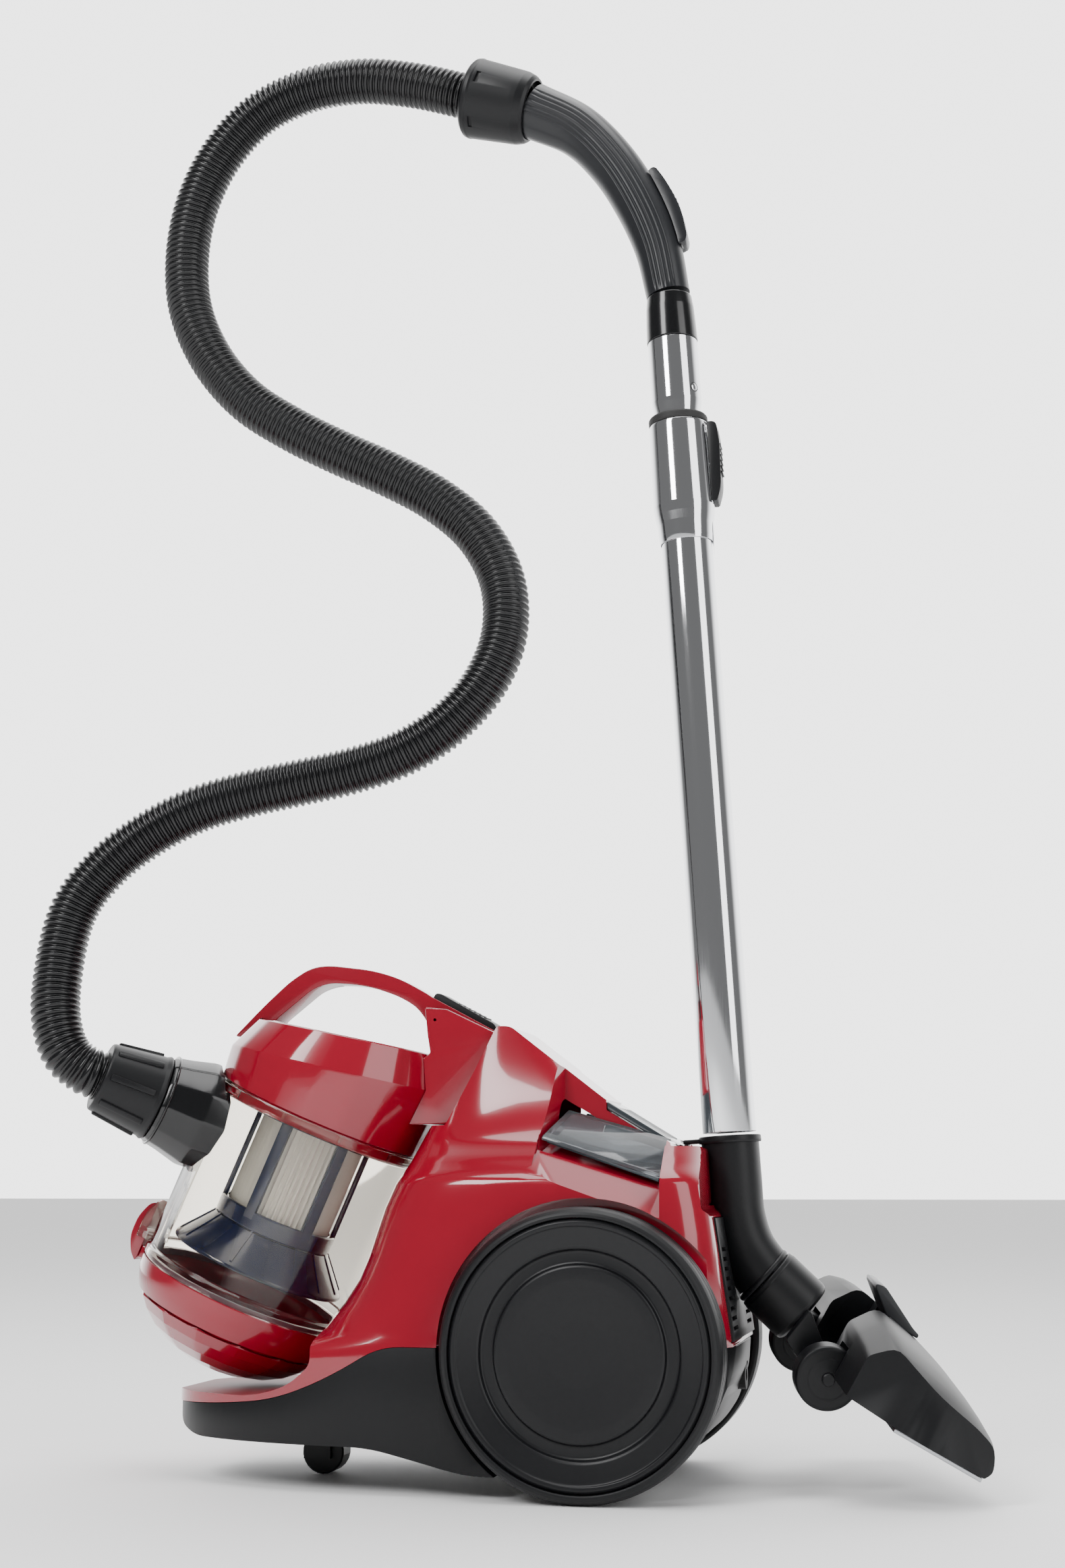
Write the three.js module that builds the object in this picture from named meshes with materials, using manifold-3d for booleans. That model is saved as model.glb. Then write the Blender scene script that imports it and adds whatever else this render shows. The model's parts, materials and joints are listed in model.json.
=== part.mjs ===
// Bagless canister vacuum cleaner: canister on two big wheels and a front caster,
// lift-out dust cup, corrugated hose, curved handle, telescopic tube parked at the
// back of the canister and a floor nozzle. Millimetres, Z up, front of the canister -X.
import * as THREE from 'three';
import { mergeVertices } from 'three/addons/utils/BufferGeometryUtils.js';
import Module from 'manifold-3d';

const wasm = await Module();
wasm.setup();

// ---- driving dimensions ----
const GAP = 0.3;
const WHEEL_R = 86.5;
const WHEEL_IN = 90;
const WHEEL_OUT = 120;
const WELL_R = 91.5;
const BODY_HALF = 100;
const INNER_HALF = 79;
const CUP_TILT = THREE.MathUtils.degToRad(23.49);
const CUP_FOOT = new THREE.Vector3(-250, 0, 115.5);
const CUP_R = 72.5;
const CUP_H = 127;
const DOOR_DEPTH = 54;
const INLET_TURN = THREE.MathUtils.degToRad(30);
const INLET_Z = 98;
const COLLAR_END = 76;
const WAND_LEAN = THREE.MathUtils.degToRad(-3.18);
const WAND_FOOT = new THREE.Vector3(79.3, 0, 216);
const TUBE_R = 17.5;
const INNER_TUBE_R = 15.6;
const SLEEVE_TOP = 491;
const HANDLE_JOINT = 553;
const NECK_RING = new THREE.Vector3(100.6, 1, 127.6);
const NECK_DIR = new THREE.Vector3(0.715, 0.11, -0.69).normalize();
const NOZZLE_PIVOT = new THREE.Vector3(129, 5, 78);
const NOZZLE_FRONT = new THREE.Vector3(0.8178, 0.3007, -0.4907).normalize();
const NOZZLE_SIDE = new THREE.Vector3(-0.249, 0.953, 0.169).normalize();
const NOZZLE_HALF = 118;
const HOSE_R = 16.5;

const group = new THREE.Group();
group.name = 'canister_vacuum_cleaner';

// ---- finishes ----
const finish = {
  red: { color: 0xa80f1c, roughness: 0.2, metalness: 0 },
  black: { color: 0x0d0e10, roughness: 0.55, metalness: 0 },
  gloss: { color: 0x0a0b0d, roughness: 0.18, metalness: 0 },
  grey: { color: 0x3a3f45, roughness: 0.25, metalness: 0 },
  smoke: { color: 0x4a4f55, roughness: 0.1, metalness: 0 },
  clear: { color: 0xd9d6cc, roughness: 0.06, metalness: 0 },
  blue: { color: 0x1a2340, roughness: 0.3, metalness: 0 },
  white: { color: 0xe8e6e0, roughness: 0.9, metalness: 0 },
  chrome: { color: 0xc9cbd0, roughness: 0.08, metalness: 1 },
  steel: { color: 0x9a9da2, roughness: 0.35, metalness: 1 },
  rubber: { color: 0x141414, roughness: 0.85, metalness: 0 },
  board: { color: 0x1f5a34, roughness: 0.5, metalness: 0 },
  copper: { color: 0x8a5a34, roughness: 0.4, metalness: 0.6 },
};

function add(name, geometry, look) {
  const material = new THREE.MeshStandardMaterial(finish[look]);
  const mesh = new THREE.Mesh(toGeometry(toSolid(geometry)), material);
  mesh.name = name;
  group.add(mesh);
  return mesh;
}

// ---- solids ----
function toSolid(source) {
  const bare = source.clone();
  bare.deleteAttribute('normal');
  bare.deleteAttribute('uv');
  const g = mergeVertices(bare, 1e-4);
  const idx = Array.from(g.index.array);
  const tris = [];
  for (let i = 0; i < idx.length; i += 3) {
    const [a, b, c] = [idx[i], idx[i + 1], idx[i + 2]];
    if (a !== b && b !== c && a !== c) tris.push(a, b, c);
  }
  const build = (list) => new wasm.Manifold(new wasm.Mesh({
    numProp: 3,
    vertProperties: new Float32Array(g.attributes.position.array),
    triVerts: new Uint32Array(list),
  }));
  const solid = build(tris);
  if (solid.volume() >= 0) return solid;
  const flipped = [];
  for (let i = 0; i < tris.length; i += 3) flipped.push(tris[i], tris[i + 2], tris[i + 1]);
  return build(flipped);
}

function toGeometry(solid) {
  const mesh = solid.getMesh();
  const g = new THREE.BufferGeometry();
  g.setAttribute('position', new THREE.BufferAttribute(new Float32Array(mesh.vertProperties), 3));
  g.setIndex(new THREE.BufferAttribute(new Uint32Array(mesh.triVerts), 1));
  g.computeVertexNormals();
  return g;
}

function join(...parts) {
  return toGeometry(parts.map(toSolid).reduce((a, b) => a.add(b)));
}

function cut(body, ...tools) {
  return toGeometry(tools.map(toSolid).reduce((a, b) => a.subtract(b), toSolid(body)));
}

function common(a, b) {
  return toGeometry(toSolid(a).intersect(toSolid(b)));
}

function box(x0, x1, y0, y1, z0, z1) {
  const g = new THREE.BoxGeometry(x1 - x0, y1 - y0, z1 - z0);
  return g.translate((x0 + x1) / 2, (y0 + y1) / 2, (z0 + z1) / 2);
}

// turned solid about Z, profile as [radius, height] pairs
function turned(profile, segments = 22) {
  const pts = profile.map(([r, z]) => new THREE.Vector2(r, z));
  return new THREE.LatheGeometry(pts, segments).rotateX(Math.PI / 2);
}

function ringSolid(rIn, rOut, z0, z1, segments = 22) {
  return turned([[rIn, z0], [rOut, z0], [rOut, z1], [rIn, z1], [rIn, z0]], segments);
}

function rod(r, z0, z1, segments = 18) {
  return turned([[0, z0], [r, z0], [r, z1], [0, z1]], segments);
}

// outline given as [x, z] pairs, extruded across the width
function prism(outline, y0, y1) {
  const shape = new THREE.Shape(outline.map(([x, z]) => new THREE.Vector2(x, z)));
  const g = new THREE.ExtrudeGeometry(shape, { depth: y1 - y0, bevelEnabled: false });
  return g.rotateX(Math.PI / 2).translate(0, y1, 0);
}

// closed skin through rings of equal point count, capped flat at both ends
function loft(rings) {
  const n = rings[0].length;
  const pos = [];
  const idx = [];
  for (const ring of rings) for (const p of ring) pos.push(p.x, p.y, p.z);
  for (let k = 0; k + 1 < rings.length; k++) {
    for (let i = 0; i < n; i++) {
      const j = (i + 1) % n;
      const [a, b, c, d] = [k * n + i, k * n + j, (k + 1) * n + j, (k + 1) * n + i];
      idx.push(a, b, c, a, c, d);
    }
  }
  for (const [k, flip] of [[0, true], [rings.length - 1, false]]) {
    const mid = new THREE.Vector3();
    rings[k].forEach((p) => mid.add(p));
    mid.divideScalar(n);
    const c = pos.length / 3;
    pos.push(mid.x, mid.y, mid.z);
    for (let i = 0; i < n; i++) {
      const j = (i + 1) % n;
      if (flip) idx.push(c, k * n + j, k * n + i);
      else idx.push(c, k * n + i, k * n + j);
    }
  }
  const g = new THREE.BufferGeometry();
  g.setAttribute('position', new THREE.Float32BufferAttribute(pos, 3));
  g.setIndex(idx);
  return g;
}

// level outline with separate corner squareness at the front and the rear
function outline(z, xFront, xRear, half, nFront, nRear, count = 28) {
  const mid = xFront * 0.45 + xRear * 0.55;
  const ring = [];
  for (let i = 0; i < count; i++) {
    const t = (2 * Math.PI * i) / count;
    const [c, s] = [Math.cos(t), Math.sin(t)];
    const n = c < 0 ? nFront : nRear;
    const reach = c < 0 ? mid - xFront : xRear - mid;
    const x = mid + reach * Math.sign(c) * Math.abs(c) ** (2 / n);
    const y = half * Math.sign(s) * Math.abs(s) ** (2 / n);
    ring.push(new THREE.Vector3(x, y, z));
  }
  return ring;
}

function sweep(points, radius, sides, steps) {
  const path = new THREE.CatmullRomCurve3(points.map((p) => new THREE.Vector3(...p)), false, 'centripetal');
  const shape = new THREE.Shape();
  for (let i = 0; i < sides; i++) {
    const a = (2 * Math.PI * i) / sides;
    if (i === 0) shape.moveTo(radius * Math.cos(a), radius * Math.sin(a));
    else shape.lineTo(radius * Math.cos(a), radius * Math.sin(a));
  }
  shape.closePath();
  return new THREE.ExtrudeGeometry(shape, { steps, extrudePath: path, bevelEnabled: false });
}

// round tube whose radius changes along a path
function taperTube(points, radii, sides, steps) {
  const path = new THREE.CatmullRomCurve3(points.map((p) => new THREE.Vector3(...p)), false, 'centripetal');
  const rings = [];
  for (let k = 0; k <= steps; k++) {
    const u = k / steps;
    const c = path.getPoint(u);
    const t = path.getTangent(u);
    const side = new THREE.Vector3(0, 1, 0);
    side.addScaledVector(t, -side.dot(t)).normalize();
    const up = new THREE.Vector3().crossVectors(t, side);
    const f = u * (radii.length - 1);
    const i = Math.min(radii.length - 2, Math.floor(f));
    const r = radii[i] + (radii[i + 1] - radii[i]) * (f - i);
    const ring = [];
    for (let j = 0; j < sides; j++) {
      const a = (2 * Math.PI * j) / sides;
      const p = c.clone().addScaledVector(side, r * Math.cos(a)).addScaledVector(up, r * Math.sin(a));
      ring.push(p);
    }
    rings.push(ring);
  }
  return loft(rings);
}

// ---- local frames ----
const cupFrame = new THREE.Matrix4().makeRotationY(CUP_TILT).setPosition(CUP_FOOT);
const onCup = (g) => g.applyMatrix4(cupFrame);
const wandFrame = new THREE.Matrix4().makeRotationY(WAND_LEAN).setPosition(WAND_FOOT);
const onWand = (g) => g.applyMatrix4(wandFrame);

function axisFrame(origin, zDir, xHint) {
  const z = zDir.clone().normalize();
  const y = new THREE.Vector3().crossVectors(z, xHint).normalize();
  const x = new THREE.Vector3().crossVectors(y, z);
  return new THREE.Matrix4().makeBasis(x, y, z).setPosition(origin);
}

const nozzleUp = new THREE.Vector3().crossVectors(NOZZLE_FRONT, NOZZLE_SIDE).normalize();
const nozzleSide = new THREE.Vector3().crossVectors(nozzleUp, NOZZLE_FRONT).normalize();
const nozzleFrame = new THREE.Matrix4().makeBasis(NOZZLE_FRONT, nozzleSide, nozzleUp);
nozzleFrame.setPosition(NOZZLE_PIVOT);
const onNozzle = (g) => g.applyMatrix4(nozzleFrame);
const neckFrame = axisFrame(NECK_RING, NECK_DIR, new THREE.Vector3(0, 1, 0));
const onNeck = (g) => g.applyMatrix4(neckFrame);
const inletFrame = new THREE.Matrix4().makeTranslation(0, 0, INLET_Z)
  .multiply(new THREE.Matrix4().makeRotationZ(INLET_TURN))
  .multiply(new THREE.Matrix4().makeRotationY(-Math.PI / 2));
const onInlet = (g) => onCup(g.applyMatrix4(inletFrame));

// ---- canister shells ----
const panTop = [[-286, 46.5], [-240, 49.7], [-200, 53.7], [-163, 67.7], [-128, 87.7], [90, 87.7]];

function wells(r, from) {
  const right = rod(r, from, from + 60, 40).rotateX(Math.PI / 2).translate(0, 0, WHEEL_R);
  const left = rod(r, -from - 60, -from, 40).rotateX(Math.PI / 2).translate(0, 0, WHEEL_R);
  return [right, left];
}

function parkChannel(extra) {
  const r = 20.6 + extra;
  const straight = onWand(rod(r, -62, 60, 20));
  const bend = taperTube([[78.6, 0, 226], ...elbowPath, [112, 2, 117]], [r, r, r, r, r, r + 1.2, r + 1.2], 20, 12);
  return [straight, bend];
}

const elbowPath = [[79.4, 0, 212.9], [80.8, 0, 190], [82.6, 0, 166], [88.5, 0.4, 146], [100.4, 1, 127.8]];

function panelPocket(drop) {
  return prism([[2.5, 260], [3.0, 239.8 - drop], [49.6, 211.8 - drop], [50.5, 260]], -31, 31);
}

// side pedal plate between an inner ridge line and a lower outer edge
function pedalPlate(side, grow, low, high) {
  const inner = [[-22 - grow, 31.4 - grow, 231.5], [46 + grow, 31.4 - grow, 212.5]];
  const outer = [[-33 - grow, 66 + grow, 214], [45 + grow, 66 + grow, 189]];
  const ring = (dz) => [inner[0], inner[1], outer[1], outer[0]]
    .map(([x, y, z]) => new THREE.Vector3(x, side * y, z + dz));
  return loft([ring(low), ring(high)]);
}

// the sloping ledge that each pedal overhangs
function ledge(side) {
  const ring = (dz) => [[-34.6, 64, 210 + dz], [46.6, 64, 185 + dz], [46.6, 106, 160 + dz], [-34.6, 106, 187 + dz]]
    .map(([x, y, z]) => new THREE.Vector3(x, side * y, z));
  return loft([ring(0), ring(60)]);
}

function bodyShell() {
  const side = [
    [-286.5, 49.2], [-284, 55], [-215, 55.5], [-190, 62.5], [-174, 76], [-175, 88.6],
    [-116.1, 224], [-99.7, 224], [-69, 288.4], [-60, 288.4], [3, 239.8], [49.6, 211.8],
    [50, 209.8], [67, 209.8], [70.5, 171], [75, 168], [85.4, 91], [86, 88], [-127.9, 88],
    [-162.9, 68.1], [-199.9, 54.1], [-240, 50.1], [-286, 47],
  ];
  const rings = [
    outline(40, -288, 91, BODY_HALF, 2.3, 3), outline(76, -288, 91, BODY_HALF, 2.3, 3),
    outline(97, -181, 90, BODY_HALF, 4, 4), outline(186, -134, 78, 97, 4, 5),
    outline(200, -126, 72, 84, 4, 5), outline(215, -120, 68, 66, 4, 5),
    outline(240, -107, 20, 50, 4, 4), outline(265, -95, -20, 40, 4, 4),
    outline(292, -80, -50, 34, 4, 4),
  ];
  const outer = common(prism(side, -105, 105), loft(rings));
  const cavityRings = [
    outline(80, -150, 60, INNER_HALF, 6, 6), outline(150, -130, 54, INNER_HALF, 6, 6),
    outline(176, -119, 50, 56, 6, 6), outline(200, -108, 40, 46, 6, 6), outline(222, -96, 10, 40, 5, 5),
    outline(246, -85, -30, 34, 5, 5),
  ];
  const seat = onCup(rod(CUP_R + 5, -20, CUP_H + 10, 20));
  const duct = rod(15.5, -40, 12, 20).applyMatrix4(
    axisFrame(new THREE.Vector3(-84, 0, 257), new THREE.Vector3(-0.9, 0, 0.433), new THREE.Vector3(0, 1, 0)));
  const recess = rod(22, -2.9, 12, 22).applyMatrix4(
    axisFrame(new THREE.Vector3(-84, 0, 257), new THREE.Vector3(-0.9, 0, 0.433), new THREE.Vector3(0, 1, 0)));
  const grille = prism([[70, 166], [81, 90.5], [95, 90.5], [95, 166]], -60, 60);
  const blockSeat = box(45.5, 90, -41, 41, 173, 230);
  return cut(outer, loft(cavityRings), ...wells(WELL_R, 83.7), ...parkChannel(0), seat, duct, recess,
    grille, blockSeat, panelPocket(6.3), pedalPlate(1, 1.6, -9, 60), pedalPlate(-1, 1.6, -9, 60),
    ledge(1), ledge(-1));
}

function basePan() {
  const side = [
    [-285.5, 46.5], [-284, 40], [-277, 33], [-262, 28], [-135, 28], [-100, 20], [-72, 13], [30, 13],
    [50, 21], [64, 32], [75, 47], [79, 58], [84, 70], [86, 87.7], [-128, 87.7],
    [-163, 67.7], [-200, 53.7], [-240, 49.7], [-285, 46.6],
  ];
  const plan = [outline(5, -287, 90, BODY_HALF, 2.3, 3), outline(100, -287, 90, BODY_HALF, 2.3, 3)];
  const outer = common(prism(side, -105, 105), loft(plan));
  const hollow = prism([[-120, 32], [-100, 24], [-70, 16.5], [28, 16.5], [46, 24], [60, 35], [70, 50],
    [72, 95], [-120, 95]], -INNER_HALF, INNER_HALF);
  const casterWell = rod(21, 20, 43, 22).translate(-199, 0, 0);
  const stem = rod(5.3, 20, 48, 20).translate(-199, 0, 0);
  const frontHollow = box(-170, -124, -60, 60, 20, 46);
  const outlet = rod(9.4, 60, 100, 20).rotateY(Math.PI / 2).translate(0, 34, 64);
  const pad = box(-50, 20, -40, 40, 10, 14);
  const base = cut(outer, hollow, ...wells(WELL_R + 0.3, 84), casterWell, stem, frontHollow, outlet);
  const reelPost = rod(7, 15, 55, 20).translate(-20, 0, 0);
  return join(base, pad, reelPost);
}

function parkBlock() {
  const block = prism([[46, 174.3], [68.5, 174.3], [66.8, 209.4], [46, 209.4]], -40.5, 40.5);
  const slot = box(48.5, 70, -7.4, 7.4, 190, 215);
  return cut(block, ...parkChannel(0), slot, panelPocket(6.3),
    pedalPlate(1, 1.6, -9, 60), pedalPlate(-1, 1.6, -9, 60));
}

function topPanel() {
  return prism([[3.4, 234.2], [49.2, 206.6], [49.2, 211.4], [3.4, 239.2]], -30.4, 30.4);
}

function exhaustGrille() {
  const plate = prism([[71.6, 165.6], [76.4, 165.6], [86.6, 91.2], [82, 91.2]], -59.5, 59.5);
  const slots = [];
  for (let k = 0; k < 4; k++) {
    const z = 97 + 9 * k;
    slots.push(box(60, 100, -46, -26, z, z + 4));
    slots.push(box(60, 100, 26, 46, z, z + 4));
  }
  return cut(plate, ...parkChannel(0), ...slots);
}

function wheel(side) {
  const hub = turned([
    [6.4, 90], [70, 90], [79.6, 93], [79.6, 116.5], [75, 118], [71.5, 116.6], [70, 116.6], [59, 115.4],
    [58, 112.4], [52, 112.4], [51, 114.6], [20, 113.6], [6, 113.6], [0, 113.6],
    [0, 111], [6.4, 111], [6.4, 90],
  ], 40);
  return hub.rotateX(side * Math.PI / -2).translate(0, 0, WHEEL_R);
}

function tyre(side) {
  const g = turned([
    [79.95, 92], [84, 90], [86.5, 93], [86.5, 112], [84, 117], [81, 119.6], [79.95, 118.6], [79.95, 92],
  ], 40);
  return g.rotateX(side * Math.PI / -2).translate(0, 0, WHEEL_R);
}

function axle(side) {
  const g = join(rod(14, 84.4, 87.5, 20), rod(6, 86, 110.6, 20));
  return g.rotateX(side * Math.PI / -2).translate(0, 0, WHEEL_R);
}

function addCanister() {
  add('body_shell', bodyShell(), 'red');
  add('base_pan', basePan(), 'black');
  add('park_block', parkBlock(), 'red');
  add('top_panel', topPanel(), 'grey');
  add('exhaust_grille', exhaustGrille(), 'gloss');
  for (const [name, side] of [['left', -1], ['right', 1]]) {
    add(`wheel_${name}`, wheel(side), 'black');
    add(`tyre_${name}`, tyre(side), 'rubber');
    add(`axle_${name}`, axle(side), 'steel');
    add(`pedal_${name}`, pedalPlate(side, 0, -2, 2.6), 'smoke');
  }
}

// ---- working parts inside the canister ----
function motor() {
  const m = turned([
    [0, -48], [14, -48], [16, -44], [34, -44], [38, -40], [38, 10], [45, 12], [45, 30], [40, 32],
    [40, 36], [0, 36],
  ], 22);
  return m.rotateY(-Math.PI / 2).translate(-22, 0, 112);
}

function fan() {
  const disc = rod(42, 37, 39.5, 22);
  const hub = rod(9, 39, 48, 20);
  const blades = [];
  for (let k = 0; k < 7; k++) {
    blades.push(box(8, 41, -0.9, 0.9, 39, 47).rotateZ((2 * Math.PI * k) / 7));
  }
  return join(disc, hub, ...blades).rotateY(-Math.PI / 2).translate(-22, 0, 112);
}

function motorMount() {
  const ring = ringSolid(45.4, 52, 14, 28, 22);
  return ring.rotateY(-Math.PI / 2).translate(-22, 0, 112);
}

function cordReel() {
  const spool = turned([
    [7.4, 19.5], [51, 19.5], [51, 22], [32, 22], [32, 48], [51, 48], [51, 50.5], [7.4, 50.5], [7.4, 19.5],
  ], 20);
  return spool.translate(-20, 0, 0);
}

function circuitBoard() {
  const board = box(-62, -2, -26, 26, 168, 170);
  const parts = [box(-54, -40, -20, -6, 169, 180), box(-30, -14, 4, 20, 169, 177)];
  return join(board, ...parts, rod(5, 169, 184, 16).translate(-30, -12, 0));
}

function outletSeal() {
  return ringSolid(16.2, 21.6, -2.6, -0.1, 22).applyMatrix4(
    axisFrame(new THREE.Vector3(-84, 0, 257), new THREE.Vector3(-0.9, 0, 0.433), new THREE.Vector3(0, 1, 0)));
}

function addInside() {
  add('motor', motor(), 'steel');
  add('motor_fan', fan(), 'grey');
  add('motor_mount', motorMount(), 'rubber');
  add('cord_reel', cordReel(), 'grey');
  add('circuit_board', circuitBoard(), 'board');
  add('outlet_seal', outletSeal(), 'rubber');
  add('inlet_filter', box(-108, -96, -32, 32, 120, 186), 'white');
  add('exhaust_filter', box(60.5, 69.5, -60, 60, 52, 86), 'white');
  const bush = ringSolid(4, 9, 71, 83.5, 20);
  add('cord_bush', bush.rotateY(Math.PI / 2).translate(0, 34, 64), 'rubber');
}

// ---- front caster ----
function addCaster() {
  const plate = rod(19, 39, 42, 20);
  const stem = rod(5, 41, 47, 20);
  const cheeks = [box(-4, 14, -12.5, -9.3, 10, 40), box(-4, 14, 9.3, 12.5, 10, 40)];
  const pin = rod(2.5, -12, 12, 16).rotateX(Math.PI / 2).translate(8, 0, 14);
  add('caster_fork', join(plate, stem, ...cheeks, pin).translate(-199, 0, 0), 'black');
  const roller = turned([[2.8, -8.8], [13, -8.8], [14, -7.8], [14, 7.8], [13, 8.8], [2.8, 8.8], [2.8, -8.8]], 22);
  add('caster_wheel', roller.rotateX(Math.PI / 2).translate(-191, 0, 14), 'rubber');
}

// ---- dust cup ----
function lidRing(r, z, slope, grow = 0, count = 20) {
  const ring = [];
  for (let i = 0; i < count; i++) {
    const a = (2 * Math.PI * (i + 0.5)) / count;
    const x = (r + grow) * Math.cos(a);
    ring.push(new THREE.Vector3(x, (r + grow) * Math.sin(a), z + slope * x));
  }
  return ring;
}

function lidOuter(grow) {
  return loft([
    lidRing(73.2, CUP_H + GAP - grow, 0, grow), lidRing(75.6, 161 + grow * 0.5, 0.177, grow),
    lidRing(64.5, 184 + grow, 0.2, grow),
  ]);
}

function cupLid() {
  const inner = loft([
    lidRing(69.5, CUP_H - 5, 0), lidRing(72, 158, 0.177), lidRing(61.5, 181, 0.2),
  ]);
  const port = rod(14, -30, 60, 20).applyMatrix4(
    axisFrame(new THREE.Vector3(-112, 0, 245), new THREE.Vector3(-0.9, 0, 0.433), new THREE.Vector3(0, 1, 0)));
  const lower = ringSolid(66, 69.8, CUP_H - 6, CUP_H + 4, 20);
  const cap = cut(onCup(lidOuter(0)), onCup(inner), port);
  const spigot = onCup(cut(rod(34, CUP_H - 2, 178, 20), rod(30, CUP_H - 4, 175, 20)));
  return join(cap, onCup(lower), spigot);
}

function carryHandle() {
  const outer = [[-258, 286], [-238, 306], [-219, 323], [-207, 330.5], [-199.5, 332.8], [-190, 333],
    [-161, 329.2], [-141.6, 323.3], [-124, 313.6], [-119, 310.4], [-71.4, 284.9], [-74, 279.4],
    [-100.2, 225], [-140, 225], [-140, 262], [-115, 271.7]];
  const inner = [[-117.5, 283], [-122.3, 294.5], [-129.5, 303.8], [-141.5, 310.9], [-160.7, 317.7],
    [-189.6, 321], [-204.1, 316.6], [-228, 297.6], [-240, 284]];
  const arch = prism([...outer, ...inner], -13, 13);
  const block = prism([[-119, 302], [-104, 300.5], [-71.6, 284.7], [-74, 279.4], [-100.2, 225],
    [-140, 225], [-140, 255], [-115, 271.7], [-117, 283]], -31, 31);
  const port = rod(14, -30, 60, 20).applyMatrix4(
    axisFrame(new THREE.Vector3(-112, 0, 245), new THREE.Vector3(-0.9, 0, 0.433), new THREE.Vector3(0, 1, 0)));
  const front = new THREE.Vector3(-96.2, 0, 298.6);
  const bed = box(-25.6, 25.6, -11.8, 11.8, -6.8, 20)
    .applyMatrix4(new THREE.Matrix4().makeRotationY(0.487).setPosition(front));
  return cut(join(arch, block), onCup(lidOuter(0.35)), port, bed);
}

function releaseButton() {
  const face = prism([[-25, -3], [25, -3], [25, 0.5], [21, 3.4], [-22, 4.4], [-25, 3]], -11.3, 11.3);
  const front = new THREE.Vector3(-96.2, 0, 298.6);
  return face.applyMatrix4(new THREE.Matrix4().makeRotationY(0.487).setPosition(front));
}

function cupBin() {
  const wall = turned([
    [70.2, 0.3], [73.6, 0.3], [74.6, 2], [74.6, 7], [72.5, 8.5], [72.5, 120.5], [75.4, 122], [75.4, 126.8],
    [70.2, 126.8], [70.2, 0.3],
  ], 36);
  const sleeve = ringSolid(22, 25.4, 60, 76, 20).applyMatrix4(inletFrame);
  const bore = rod(22.2, 50, 90, 20).applyMatrix4(inletFrame);
  const trim = rod(70.2, 0, 126, 36);
  const ears = [box(-84, -69, -13, -10.3, 4, 33), box(-84, -69, 10.3, 13, 4, 33)];
  const lugs = [box(66, 77.6, -20, -12.4, 0.3, 6), box(66, 77.6, 12.4, 20, 0.3, 6)];
  const grown = join(wall, cut(sleeve, trim), cut(join(...ears), trim), cut(join(...lugs), trim));
  return onCup(cut(grown, bore));
}

function filterCage() {
  const lower = ringSolid(37.2, 41, 44, 56, 20);
  const upper = ringSolid(37.2, 41, 118, 123.5, 20);
  const posts = [];
  for (let k = 0; k < 6; k++) {
    posts.push(box(37.4, 41, -4, 4, 50, 122).rotateZ((Math.PI * k) / 3 + 0.35));
  }
  return onCup(join(lower, upper, ...posts));
}

function filterPleats() {
  const count = 24;
  const rings = [];
  for (const z of [44.5, 123]) {
    const ring = [];
    for (let i = 0; i < count * 2; i++) {
      const a = (Math.PI * i) / count;
      const r = i % 2 ? 36.2 : 32;
      ring.push(new THREE.Vector3(r * Math.cos(a), r * Math.sin(a), z));
    }
    rings.push(ring);
  }
  return onCup(cut(loft(rings), rod(28, 40, 130, 22)));
}

function filterSkirt() {
  const cone = turned([[0, 38], [20, 38], [57.5, 19], [60, 19], [60, 21.5], [42, 43.6], [0, 43.6]], 40);
  return onCup(cone);
}

function cupDoor() {
  const outer = [];
  const inner = [];
  for (let k = 0; k <= 6; k++) {
    const a = (Math.PI / 2) * (k / 6);
    outer.push([74.4 * Math.sin(a), -DOOR_DEPTH * Math.cos(a)]);
    inner.push([71.4 * Math.sin(a), -(DOOR_DEPTH - 3) * Math.cos(a)]);
  }
  const bowl = turned([...outer, ...inner.reverse()], 20);
  const knuckle = rod(3.2, -12, 12, 20).rotateX(Math.PI / 2).translate(74.6, 0, -3.6);
  const catchLip = box(-78, -72, -9, 9, -9, -1);
  return onCup(cut(join(bowl, knuckle, catchLip), rod(1.7, -14, 14, 16).rotateX(Math.PI / 2)
    .translate(74.6, 0, -3.6)));
}

function doorLatch() {
  const body = [[-78.6, 30], [-84.5, 27], [-89, 16], [-89, 2], [-84, -8], [-79, -12.4], [-78.4, -9.4],
    [-78.4, -1], [-78.4, 8], [-80.2, 10], [-79, 13]];
  return onCup(prism(body, -9.8, 9.8));
}

function inletElbow() {
  const shell = turned([
    [18.5, 64], [21.7, 64], [21.7, 76.4], [25.9, 76.4], [25.9, 58], [35.5, 58], [36, 80], [34.2, 86],
    [31.6, 96], [30, 104], [27.2, 108], [18.5, 108], [18.5, 64],
  ], 16);
  const clear = join(rod(CUP_R + 0.9, -60, 200, 40), rod(CUP_R + 4, 120.8, 200, 40));
  return cut(onInlet(shell), onCup(clear));
}

function hoseCollar() {
  const core = turned([
    [17, 108.3], [27.5, 108.3], [27.8, 112], [23.4, CUP_R + COLLAR_END], [14, CUP_R + COLLAR_END],
    [14, CUP_R + COLLAR_END - 6], [17, 126], [17, 108.3],
  ], 22);
  const ribs = [];
  for (let k = 0; k < 8; k++) {
    ribs.push(box(23, 28.4, -2.2, 2.2, 113, 142).rotateZ((Math.PI * k) / 4));
  }
  const cone = turned([[0, 108.3], [29.4, 108.3], [25.2, CUP_R + COLLAR_END - 1], [0, CUP_R + COLLAR_END - 1]], 22);
  return onInlet(join(core, common(join(...ribs), cone)));
}

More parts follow.
